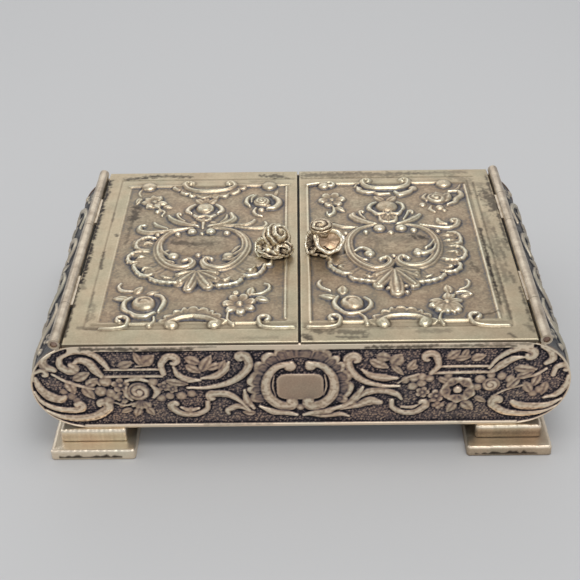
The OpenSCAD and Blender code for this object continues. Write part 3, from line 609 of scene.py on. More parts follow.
    # rosebud, front left
    r.rose(18, 23.6, 4.1, 1.65, 200, 0.62)
    draw_all(r, balls=[(18.7, 22.6, 3.1, 1.6)],
        beads=[([(13.4, 26.6), (11.9, 23.4), (12.6, 20.2), (14.6, 18)], [0.5, 0.9, 1, 0.6], 1.05),
            ([(14, 18), (16.6, 16.4), (19.6, 16.8), (22.4, 18)], [0.5, 1, 1, 0.5], 1.1),
            ([(22.6, 26), (24.6, 23.4), (24.4, 20.6), (22.6, 18.2)], [0.4, 0.8, 1, 0.6], 1),
            ([(10.8, 30.2), (7.8, 32), (6.6, 34.6), (7.4, 36.8)], [0.4, 0.8, 0.8, 0.4], 0.95),
            ([(20.4, 16.4), (22.2, 14), (22.8, 10.6)], [0.4, 0.7, 0.9], 0.9)],
        leaves=[(13.6, 25.6, 164, 7.6, 1.4, 1.2), (15, 28, 88, 5.6, 1.9, 0.95)])
    # flower, front right
    for turn, length, half in [(170, 5.4, 1.7), (215, 5.6, 1.8), (250, 6, 1.9), (290, 6.2, 2),
            (330, 5.6, 1.7), (10, 5.4, 1.5), (80, 5.6, 1.6), (55, 5.6, 1.1)]:
        r.leaf(51.2 + 0.6 * np.cos(np.radians(turn)), 22.8 + 0.6 * np.sin(np.radians(turn)), turn, length,
            half, 1.4, 0, 0.25)
    draw_all(r, balls=[(51.3, 22.8, 1.3, 1.45), (46.2, 21, 1.4, 1.3), (48.2, 18.4, 1.4, 1.3),
            (51, 17.6, 1.3, 1.3), (54.6, 18.4, 1.4, 1.3)],
        beads=[([(55.4, 28.4), (58.4, 28.8), (60.6, 27.2)], [0.4, 0.8, 0.5], 0.95),
            ([(56.6, 30), (59.6, 31.6), (60.8, 34.4), (60, 36.4)], [0.3, 0.6, 0.6, 0.3], 0.75),
            ([(48.6, 16), (47.8, 12.8), (48.8, 9.8)], [0.4, 0.7, 0.6], 0.9)],
        leaves=[(53, 28, 96, 5.4, 1.7, 0.95), (56.6, 26.2, 10, 4.4, 1, 0.9)])
    # arch at the front, with its fan
    r.ruffle(35.2, 7.4, 7, 12.8, 14, 166, 9, 1, 0.8)
    r.bead(volute([(35, 15.7), (31, 15), (27.8, 13)], 1.9, 1, 4.6), [1.1, 1.2, 1.1, 0.7], 1.35, 0.3)
    r.bead(volute([(35, 15.7), (39.6, 15.2), (43, 13.2)], 1.9, -1, 4.6), [1.1, 1.2, 1.1, 0.7], 1.35, 0.3)
    draw_all(r, balls=[(28.5, 12, 1.7, 1.45), (42.4, 12.2, 1.7, 1.45)],
        beads=[(volute([(2.4, 9.2), (8, 9), (12.4, 10), (13.6, 13)], 2.5, 1, 4.6), [0.5, 0.8, 1, 0.8, 0.7],
                1.2), (volute([(71, 8.9), (64, 9), (59.4, 10.4), (58.2, 13.4)], 2.4, -1, 4.6),
                [0.5, 0.8, 1, 0.9, 0.7], 1.2), ([(14.6, 11.7), (22.4, 11.7)], 0.8, 0.75),
            ([(48.6, 11.9), (57.8, 11.9)], 0.8, 0.75),
            (volute([(3.2, 106.3), (8, 107.6), (12.6, 108)], 1.8, -1, 4.2), [0.6, 0.8, 0.9, 0.9, 0.8],
                1.25), ([(13.6, 107.2), (25.6, 107.2)], 0.9, 0.8),
            ([(46.4, 107.2), (57.2, 107.2)], 0.9, 0.8), ([(3.3, 105), (3.3, 12)], 0.6, 0.7),
            ([(68.4, 105), (68.4, 13)], 0.6, 0.7),
            ([(66.6, 104.8), (65, 101.6), (61.4, 100)], [0.4, 0.6, 0.3], 0.55)])
    draw_all(r, balls=[(10.2, 105.9, 2.2, 1.5), (59.8, 106.7, 2.9, 1.6)])


# %% [markdown]
# The sheet round the ornament is flat, the ground inside it is sunk a little, and fine lines are engraved
# on the borders. The tone of oxidised silver goes with the relief: hollows stay dark and crests are
# rubbed bright. So each point keeps a number, its tone, from its height over the blurred height round it.
# %% Lid surfaces
GROUND = -0.35
LID_CELL = 0.33


def soft_step(x, middle, width):
    """Rises from 0 to 1 over a width round a middle."""
    return np.clip((x - middle) / width + 0.5, 0, 1)


def sunk_field(x, y, left, right, low, high, width=1.3):
    """1 inside a rectangle, 0 outside, with soft edges."""
    across = soft_step(x, left, width) * (1 - soft_step(x, right, width))
    return across * soft_step(y, low, width) * (1 - soft_step(y, high, width))


def engraved(distance, half=0.28):
    """Depth of a cut line: a bell round the line."""
    return np.exp(-((distance / half) ** 2))


def span(x, low, high):
    """1 from low to high, 0 beyond, with ends 1 mm soft."""
    return soft_step(x, low, 1) * (1 - soft_step(x, high, 1))


def tone_from(total, cell, fine=0.75, broad=0.30):
    """Tone from the height over its blurred self at two widths: crests near 1, hollows near 0. Crests read as
    rubbed metal, and with the panel's high weights also as painted highlight.
    """
    near, far = blur(total, 0.5 / cell), blur(total, 1.7 / cell)
    return fine * (total - near) + broad * (total - far)


def lid_relief(side):
    """Height and tone over a lid: ornament on a sunk field, a flat strip and cut lines round it, a low dome
    in the cartouche, and pebbles about 0.7 mm wide on the ground."""
    r = Relief(0, 0, LID_W, LID_D, 1.1)
    r.grow = 1.14
    x, y = r.x[None, :], r.y[:, None]
    if side == "left":
        left_lid_ornament(r)
        field = sunk_field(x, y, 10.3, 75.4, 11.8, 105.4)
        strip = span(x, 8, 79) * span(y, 7.9, 10.8)
        lines = engraved(x - 5.9) * span(y, 8.2, 111) + engraved(y - 7.9) * span(x, 6, 78.5)
        lines = lines + 0.8 * engraved(y - 110.8) * span(x, 6, 78.5)
        dome_at = ((x - 43) / 13.5) ** 2 + ((y - 60.2) / 7.4) ** 2
    else:
        right_lid_ornament(r)
        field = sunk_field(x, y, 3.1, 68.8, 11.8, 106)
        strip = span(x, 1, 72) * span(y, 7.9, 10.8)
        lines = engraved(x - 72.4) * span(y, 8.4, 106) + engraved(y - 7.9) * span(x, 0.6, 72.4)
        lines = lines + 0.8 * engraved(y - 110.9) * span(x, 1, 73) + 0.7 * engraved(x - 70) * span(y, 14, 108)
        dome_at = ((x - 35.4) / 13.5) ** 2 + ((y - 60.8) / 7.4) ** 2
    level = GROUND * field - 0.22 * strip - 0.28 * lines
    level = level + 0.012 * smooth_noise(level.shape, (28, 20), 5)
    level = level + 0.03 * smooth_noise(level.shape, (7, 5), 6)
    pebble = field * smooth_noise(level.shape, (165, 115), 9)
    level = level + 0.022 * pebble
    total = np.maximum(level, GROUND + r.z)
    total = np.maximum(total, GROUND * 0.9 + 0.42 * dome(np.sqrt(dome_at)) * (dome_at < 1))
    total = blur(total, 0.16 / r.cell)
    tone = tone_from(total, r.cell)
    flat = 0.60 - 0.085 * field - 0.03 * strip
    return r, total, flat + tone + 0.06 * pebble, field


def stain_and_shade_field(r, marks, seed, cell=1.0):
    """Dark marks, stains and painted shadow alike: each mark (x0, y0, x1, y1, half width, strength) is a bell
    round a line, torn by noise.
    """
    x, y = r.x[None, :], r.y[:, None]
    stain_and_shade = np.zeros(r.z.shape)
    size = (int(len(r.y) * r.cell / cell), int(len(r.x) * r.cell / cell))
    ragged = smooth_noise(stain_and_shade.shape, size, seed)
    ragged = ragged + 0.6 * smooth_noise(stain_and_shade.shape, (size[0] * 2, size[1] * 2), seed + 1)
    for x0, y0, x1, y1, half, strength in marks:
        along = np.array([x1 - x0, y1 - y0])
        t = np.clip(((x - x0) * along[0] + (y - y0) * along[1]) / max(along @ along, 1e-6), 0, 1)
        d = np.hypot(x - x0 - t * along[0], y - y0 - t * along[1]) / half
        stain_and_shade = np.maximum(stain_and_shade, strength * np.clip(1.35 - 0.85 * d + 0.75 * ragged, 0, 1))
    return np.clip(stain_and_shade, 0, 1)


# marks read from the picture: stains round the border and in the cartouche, and painted shadow along the
# hinge
# on the left lid, the marks along x 0.3 to 0.7 are painted shadow in the dark gap beside the hinge tube
LEFT_STAINS_AND_HINGE_SHADOW = [(7, 112, 12, 112.6, 1.0, 0.8), (12, 112.6, 20, 114.3, 1.1, 0.85),
    (20, 114.3, 34, 113.6, 0.9, 0.75), (65, 113.6, 73, 112.8, 1.3, 0.75), (70, 113.6, 76, 111.4, 0.7, 0.5),
    (14.4, 89, 14.2, 80, 1.6, 0.8), (14.2, 80, 13.2, 62, 0.6, 0.45), (9, 69, 9.2, 67, 0.5, 0.7),
    (6, 85, 6.2, 78, 0.4, 0.5), (6, 56, 6.6, 45, 0.5, 0.7), (6.2, 30, 6.6, 12, 0.4, 0.5),
    (0.8, 36, 2, 32, 0.8, 0.45), (32, 62.4, 39, 61.2, 1.6, 0.7), (39, 61.4, 47, 60.8, 1.3, 0.55),
    (33, 61.6, 50, 61.0, 3.0, 0.22), (0.6, 111, 0.6, 84, 0.9, 1.0), (0.6, 84, 0.5, 62, 0.7, 1.0),
    (0.7, 60, 0.7, 36, 0.8, 1.0), (0.4, 34, 0.4, 4, 0.4, 0.9), (4, 9, 12, 8.4, 0.8, 0.45),
    (7.4, 22, 8, 14, 0.8, 0.35), (0.3, 100, 0.4, 92, 0.5, 0.5), (60, 108.8, 70, 109.2, 0.7, 0.3),
    (60, 2.2, 72, 2.4, 0.7, 0.25)]
# on the right lid, the marks along x 78.4 to 78.8 and the broad one from (76, 97) to (79, 84) are painted
# shadow in the dark gap beside the hinge tube
RIGHT_STAINS_AND_HINGE_SHADOW = [(2, 113.6, 25, 114.6, 1.5, 0.6), (25, 113.6, 50, 114.2, 1.3, 0.6),
    (50, 114, 70, 114.8, 1.0, 0.4), (44, 64.2, 47.6, 64.0, 1.3, 0.85), (27, 62.6, 46, 62.4, 2.6, 0.30),
    (70, 70, 70, 47, 0.55, 0.8), (69.8, 50, 69.8, 28, 0.6, 0.95), (70, 28, 70, 20, 0.6, 0.7),
    (71, 58, 73.4, 50, 0.6, 0.6), (63.4, 46, 64.8, 41, 1.0, 0.55), (77.6, 60, 78.4, 55, 1.2, 0.5),
    (76.4, 39, 77.2, 34, 1.0, 0.5), (78.6, 89, 78.8, 84, 1.6, 0.8), (69.8, 106, 70.2, 96, 0.5, 0.5),
    (76, 97, 79, 84, 2.6, 0.75), (64, 112, 74, 104, 2.0, 0.4), (73, 82, 74, 34, 1.1, 0.4),
    (75, 70, 76, 44, 0.7, 0.5), (71.4, 44, 72, 12, 0.8, 0.5), (78.4, 112, 78.6, 60, 0.5, 0.8),
    (68.6, 16, 60, 13.4, 0.5, 0.6), (78.4, 30, 78.6, 10, 0.5, 0.7), (10, 113, 40, 113, 1.6, 0.45),
    (4, 5.6, 22, 4.6, 1.1, 0.6), (1, 3, 3, 1.4, 1.0, 0.8), (12, 2.4, 22, 2.0, 0.6, 0.6),
    (40, 5, 50, 5.2, 0.9, 0.35), (70.4, 3, 71.4, 1.4, 0.6, 0.6), (77.6, 7.6, 78.6, 4, 1.0, 0.5),
    (2, 6.8, 40, 7.0, 0.5, 0.35), (13.8, 75.4, 14.2, 74.6, 0.6, 0.9)]


def plate_positions(length, cell, edge=(0, 0.06, 0.16, 0.32)):
    """Grid lines over a length, closer together at both ends, where the edge is rounded."""
    middle = np.linspace(edge[-1] + cell, length - edge[-1] - cell, int((length - 2 * edge[-1]) / cell) - 1)
    return np.concatenate([edge, middle, length - np.array(edge)[::-1]])


def lid_piece(side):
    """The pressed sheet of a lid: relief on top, a rounded edge, a turned-down hem and a plain underside."""
    r, total, tone, field = lid_relief(side)
    stain_and_shade = stain_and_shade_field(r, LEFT_STAINS_AND_HINGE_SHADOW if side == "left" else RIGHT_STAINS_AND_HINGE_SHADOW, 11 if side == "left" else 23)
    left = -lid_high[0] if side == "left" else lid_low[0]
    u = plate_positions(LID_W, LID_CELL)
    v = plate_positions(LID_D, LID_CELL)
    gu, gv = np.meshgrid(u, v)
    rim = np.minimum(np.minimum(gu, LID_W - gu), np.minimum(gv, LID_D - gv))
    rounding = 0.32
    fall = rounding - np.sqrt(np.clip(rounding**2 - np.clip(rounding - rim, 0, None) ** 2, 0, None))
    height = LID_TOP + sample(r, total, gu, gv) - fall
    top = np.stack([left + gu, lid_low[1] + gv, height], -1)
    loop = edge_loop(*gu.shape)
    edge = top.reshape(-1, 3)[loop]
    middle = np.array([left + LID_W / 2, 0.0])

    def ring(inset, z):
        """The lid's edge drawn in by an inset, at a height."""
        shrink = 1 - 2 * inset / np.array([LID_W, LID_D])
        return np.column_stack([middle + (edge[:, :2] - middle) * shrink, np.full(len(edge), z)])

    hem = backing_low[0] - lid_low[0]
    rings = [ring(0, LID_TOP - rounding - 0.12), ring(0, LID_REST + 0.18), ring(0.06, LID_REST + 0.05),
        ring(0.18, LID_REST), ring(hem - 0.12, LID_REST), ring(hem - 0.02, LID_REST + 0.12),
        ring(hem, backing_high[2]), ring(2, backing_high[2])]
    bright = sample(r, tone, gu, gv) + 0.16 * np.clip(1 - rim / 0.7, 0, 1)
    attributes = {"tone": bright, "stain_and_shade": sample(r, stain_and_shade, gu, gv), "border": 1 - sample(r, field, gu, gv)}
    piece = close_sheet(f"{side}_lid_embossed", top, rings, attributes)
    print(f"{side} lid: {len(piece.data.polygons)} faces")
    return piece


# %% [markdown]
# Materials. Oxidised silver plate is a metal whose hollows carry a dark sulphide film and whose crests
# have been rubbed back to bright metal, a little yellow where the plate has worn. The tone number picks
# the colour.
# %% Materials
def linear(colour):
    """An sRGB hex colour as linear red, green, blue and alpha."""
    rgb = np.array([int(colour[i:i + 2], 16) for i in (1, 3, 5)]) / 255
    return (*np.where(rgb <= 0.04045, rgb / 12.92, ((rgb + 0.055) / 1.055) ** 2.4), 1.0)


def add_node(material, kind, settings=(), inputs=(), links=()):
    """One node: settings are (property, value), inputs (socket, value), links (socket, output socket)."""
    made = material.node_tree.nodes.new("ShaderNode" + kind)
    for key, value in settings:
        setattr(made, key, value)
    for key, value in inputs:
        made.inputs[key].default_value = value
    for key, source in links:
        material.node_tree.links.new(made.inputs[key], source)
    return made


def new_material(name):
    """A material with an empty node tree."""
    material = bpy.data.materials.new(name)
    material.use_nodes = True
    material.node_tree.nodes.clear()
    return material


def colour_ramp(material, source, stops):
    """A ramp from (place, hex colour) pairs."""
    made = add_node(material, "ValToRGB", links=[("Fac", source)])
    points = made.color_ramp.elements
    while len(points) < len(stops):
        points.new(0.5)
    for point, (place, colour) in zip(points, stops):
        point.position, point.color = place, linear(colour)
    return made


def noise(material, place, scale, detail, roughness=0.5):
    """A fractal noise over a place; roughness is the share that each finer octave keeps."""
    inputs = [("Scale", scale), ("Detail", detail), ("Roughness", roughness)]
    return add_node(material, "TexNoise", [], inputs, [("Vector", place)]).outputs["Fac"]


def add_share(material, source, share, base):
    """A base plus a share of a source."""
    made = add_node(material, "Math", [("operation", "MULTIPLY_ADD")], [(1, share)],
        [(0, source), (2, base)])
    return made.outputs[0]


def shade_surface(material, values, links, height, strength, depth):
    """The surface itself: a shader with fixed and linked values, over a bump whose depth is in metres."""
    bump = add_node(material, "Bump", [], [("Strength", strength), ("Distance", depth)],
        [("Height", height)])
    shader = add_node(material, "BsdfPrincipled", [], values, links + [("Normal", bump.outputs[0])])
    add_node(material, "OutputMaterial", [], [], [("Surface", shader.outputs[0])])
    return material


def silver_material(name, stops, border_stops, mottle=0.10, roughness=(0.30, 0.50), metal=0.9):
    """Silver whose tone attribute picks a colour: one ramp for sunk ground and relief, one for plain borders.
    High tones are rubbed smooth and bright, low ones are rough with sulphide, and stains and painted shadow
    cover both."""
    m = new_material(name)
    place = add_node(m, "TexCoord").outputs["Object"]
    tone = add_node(m, "Attribute", [("attribute_name", "tone")]).outputs["Fac"]
    stain_and_shade = add_node(m, "Attribute", [("attribute_name", "stain_and_shade")]).outputs["Fac"]
    border = add_node(m, "Attribute", [("attribute_name", "border")]).outputs["Fac"]
    # uneven tarnish, in clouds of about 8 mm, and specks of about 0.7 mm
    cloud = noise(m, place, 120.0, 4.0, 0.6)
    speck = noise(m, place, 1400.0, 2.0)
    drift = add_node(m, "Math", [("operation", "MULTIPLY_ADD")], [(1, mottle), (2, -mottle / 2 - 0.035)],
        [(0, cloud)])
    grain = add_share(m, speck, 0.16, drift.outputs[0])
    level = add_node(m, "Math", [("operation", "ADD")], [], [(0, tone), (1, grain)]).outputs[0]
    sunk = colour_ramp(m, level, stops)
    plain = colour_ramp(m, level, border_stops)
    body = add_node(m, "Mix", [("data_type", "RGBA")], [],
        [(0, border), (6, sunk.outputs["Color"]), (7, plain.outputs["Color"])])
    # the film is a little pink or a little green, in patches of about 12 mm
    patch = noise(m, place, 80.0, 3.0)
    cast = colour_ramp(m, patch, [(0.36, "#fff9f3"), (0.5, "#fffdf8"), (0.64, "#f7faf6")])
    tinted = add_node(m, "Mix", [("data_type", "RGBA"), ("blend_type", "MULTIPLY")], [(0, 1.0)],
        [(6, body.outputs[2]), (7, cast.outputs["Color"])])
    # the stain attribute mixes in dark brown: real stains, and painted shadow in the gaps beside the hinge
    # tubes
    stained_and_shaded = add_node(m, "Mix", [("data_type", "RGBA")], [(7, linear("#2e2621"))],
        [(0, stain_and_shade), (6, tinted.outputs[2])])
    gloss = add_node(m, "MapRange", [],
        [("From Min", 0.25), ("From Max", 0.8), ("To Min", roughness[1]), ("To Max", roughness[0])],
        [("Value", level)])
    return shade_surface(m, [("Metallic", metal)],
        [("Base Color", stained_and_shaded.outputs[2]), ("Roughness", gloss.outputs[0])], speck, 0.25, 0.00012)


# the blue-grey stops at 0.20 and 0.33 are painted reflection of a blue-grey surrounding in the shaded hollows
# round the forms
EMBOSSED = silver_material("oxidised_silver_plate_embossed",
    [(0.0, "#1b181b"), (0.20, "#3d3c42"), (0.33, "#605f66"), (0.43, "#80786f"), (0.52, "#988772"),
        (0.64, "#baa88f"), (0.78, "#dcd1b8"), (0.92, "#f3ebd6")],
    [(0.0, "#1c191a"), (0.3, "#5a5346"), (0.46, "#8a7c68"), (0.58, "#ab9d85"), (0.72, "#c4b69b"),
        (0.9, "#e4d9bf")], mottle=0.20)

# %% Lids into the scene
for side in ("left", "right"):
    lid = lid_piece(side)
    lid.data.materials.append(EMBOSSED)
    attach(lid, f"{side}_lid")
    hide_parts(f"{side}_lid_cover")

# %% [markdown]
# The long panels are pressed from a stadium-shaped plate: scrolls and flower sprays on a ground that is
# matted with small punches and nearly black. The picture shows the front one; the back is taken to be the
# same pressing.
# %% Ornament of the panels
def panel_left_half(r):
    """Scrolls and sprays left of the cartouche, in millimetres from the panel's middle and the floor."""
    draw_all(r, groove=0.14,
        beads=[([(-84, 41.4), (-86.6, 39.4), (-86.4, 36.4), (-83.4, 34.8)], [0.6, 1.2, 1.4, 1], 0.75),
            ([(-91, 36.4), (-89.4, 38.8), (-87.8, 39.4)], [0.4, 1.1, 0.6], 0.65),
            (volute([(-78.6, 41.4), (-80.8, 39.4), (-81, 36.4), (-79, 34.6)], 2, 1, 3.4),
                [0.6, 1.2, 1.5, 1.5, 1.3, 1], 0.8),
            ([(-79, 40.6), (-76.4, 42.6), (-72.6, 42.8), (-69, 41), (-66.6, 38), (-65, 35)],
                [0.5, 1.1, 1.2, 1.1, 1, 0.7], 0.8),
            ([(-76.6, 37.6), (-74, 38.8), (-71.2, 37.6), (-69.6, 34.6), (-67.6, 31.8)],
                [0.5, 1.1, 1.3, 1.3, 0.9], 0.8), ([(-66, 34.6), (-46.6, 34.6)], 0.5, 0.62),
            ([(-68, 31.6), (-47, 31.6)], 0.6, 0.62),
            (volute([(-91.2, 30), (-90.8, 33), (-88.4, 34.4)], 1.8, -1, 3), [0.6, 0.9, 1, 1, 0.8], 0.75),
            ([(-90.4, 31), (-89.2, 26.4), (-86.6, 23), (-83.2, 21.6), (-81.2, 22.6)],
                [0.8, 1.2, 1.5, 1.4, 0.8], 0.8),
            (volute([(-91.4, 25), (-89.6, 20.6), (-85.6, 17.6), (-80.6, 16.4), (-76.8, 16.8)], 1.6, 1, 3.6),
                [0.5, 1, 1.2, 1.2, 1.1, 1.2, 1.2], 0.85),
            (volute([(-88.6, 16.6), (-84, 13.6), (-77.6, 12.6), (-71.4, 13.6), (-67.4, 16.6)], 2.4, 1, 4),
                [0.5, 1.2, 1.4, 1.4, 1.4, 1.3, 1.1, 0.8], 0.85),
            (volute([(-46.4, 32.6), (-46.9, 36.4), (-45.4, 39.2)], 2.6, -1, 4.2),
                [0.9, 1.1, 1.2, 1.2, 1, 0.8], 0.82),
            ([(-42.8, 35.6), (-41.4, 32), (-38, 29.8), (-34, 29.6)], [0.5, 1, 1.1, 0.5], 0.75),
            (volute([(-38.6, 26.2), (-32, 26.2), (-25, 28), (-19.8, 31.6), (-17.2, 36), (-18, 39.6)], 1.7,
                    1, 4), [0.5, 1, 1.2, 1.3, 1.4, 1.3, 1.1, 0.9], 0.85),
            ([(-33.6, 30.4), (-28.6, 31.4), (-25.4, 34.4), (-24, 37.4)], [0.5, 1.2, 1.2, 0.5], 0.75),
            (volute([(-17.6, 15.8), (-20.6, 19.8), (-25, 23), (-30, 23.4)], 1.6, 1, 3.4),
                [0.5, 1.2, 1.3, 1.2, 1, 0.8], 0.82),
            ([(-16.2, 16.6), (-18.4, 20.4), (-19.2, 24.8)], [0.7, 1.2, 0.5], 0.78),
            ([(-18, 15.6), (-21.4, 17.6), (-25.2, 15.8), (-25, 14)], [0.5, 1.1, 0.9, 0.6], 0.75),
            (volute([(-32, 19.6), (-32.6, 16.2), (-36.6, 14), (-41.4, 14.4), (-44.4, 17)], 1.7, -1, 3.4),
                [0.8, 1, 1.2, 1.2, 1, 0.9, 0.8], 0.8)])
    draw_all(r, beads=[([(-84.4, 33), (-80.6, 30), (-76, 27.8), (-71, 26.2)], [0.5, 0.7, 0.6], 0.62),
            ([(-64.6, 20), (-61, 18.6), (-57.6, 19.4)], [0.4, 0.5], 0.55),
            ([(-55.6, 36), (-51, 36.6)], 0.4, 0.5),
            ([(-59.4, 29.6), (-55.6, 30.6), (-52, 29.4)], [0.6, 1, 0.6], 0.75),
            ([(-50.8, 27.4), (-49.2, 24.8), (-50.6, 22)], [0.6, 1.1, 0.6], 0.75),
            ([(-59.6, 27), (-60, 23.4), (-58.2, 20.8)], [0.5, 0.9, 0.5], 0.7),
            ([(-41.6, 17.4), (-38.6, 16), (-35.4, 16.8)], [0.5, 1, 0.6], 0.6),
            ([(-73, 29), (-70, 29.6), (-68.6, 28)], [0.5, 0.8, 0.5], 0.6)],
        balls=[(-66.6, 29.4, 1.9, 0.7), (-68.6, 25, 1.9, 0.65), (-65.2, 24, 1.7, 0.65),
            (-66.4, 20.6, 1.8, 0.65), (-63.8, 22.6, 1.4, 0.6), (-50.4, 29, 1.6, 0.6), (-48, 21.8, 1.4, 0.5),
            (-45, 22.6, 1.3, 0.5), (-79, 23, 1.4, 0.4), (-77.4, 21, 1.2, 0.4), (-81.4, 25, 1.2, 0.4),
            (-41, 22.6, 1.5, 0.55), (-37.4, 23.6, 1.3, 0.5)],
        leaves=[(-77.6, 30.2, 28, 7, 1.7, 0.7), (-79.6, 30, -72, 6.4, 1.7, 0.7),
            (-74.6, 27.2, -58, 6.6, 1.7, 0.7), (-73.4, 27.2, 40, 6, 1.5, 0.65),
            (-61.6, 35.8, 22, 5.6, 1.5, 0.55), (-53.4, 36.4, 112, 6.4, 1.2, 0.6),
            (-54, 36.6, 40, 6.6, 2, 0.6), (-54, 36.2, 76, 5, 1, 0.5), (-58.6, 17, 205, 4.4, 1, 0.5),
            (-56, 17.4, -110, 4.4, 1.3, 0.55), (-53.4, 17.6, -58, 4.6, 1.2, 0.55),
            (-38.6, 39.6, -28, 6, 1.6, 0.65), (-38.6, 36.4, -36, 6, 1.5, 0.65),
            (-33.6, 33.4, 62, 8, 1.8, 0.7), (-32, 34.6, 20, 6.4, 1.4, 0.7), (-27.4, 33.8, 64, 5, 1.3, 0.65),
            (-15.6, 14.4, 175, 4.6, 1.2, 0.65), (-46, 29.4, -12, 8, 1.4, 0.65),
            (-62.6, 17.4, 60, 4.6, 0.9, 0.5)])
    r.flower(-61.6, 27.6, 3.3, 5, 0.75, 20)
    r.flower(-61, 22.4, 2.9, 5, 0.7, 60)
    r.flower(-46.8, 27, 2.2, 5, 0.6, 10)
    r.flower(-43.8, 25.8, 1.9, 5, 0.6, 40)
    r.rose(-55.6, 24.6, 4.1, 0.85, 120, 0.5)
    r.shell(-55.2, 21.4, 270, 4.6, 0.7, 6, 62, 0.5)


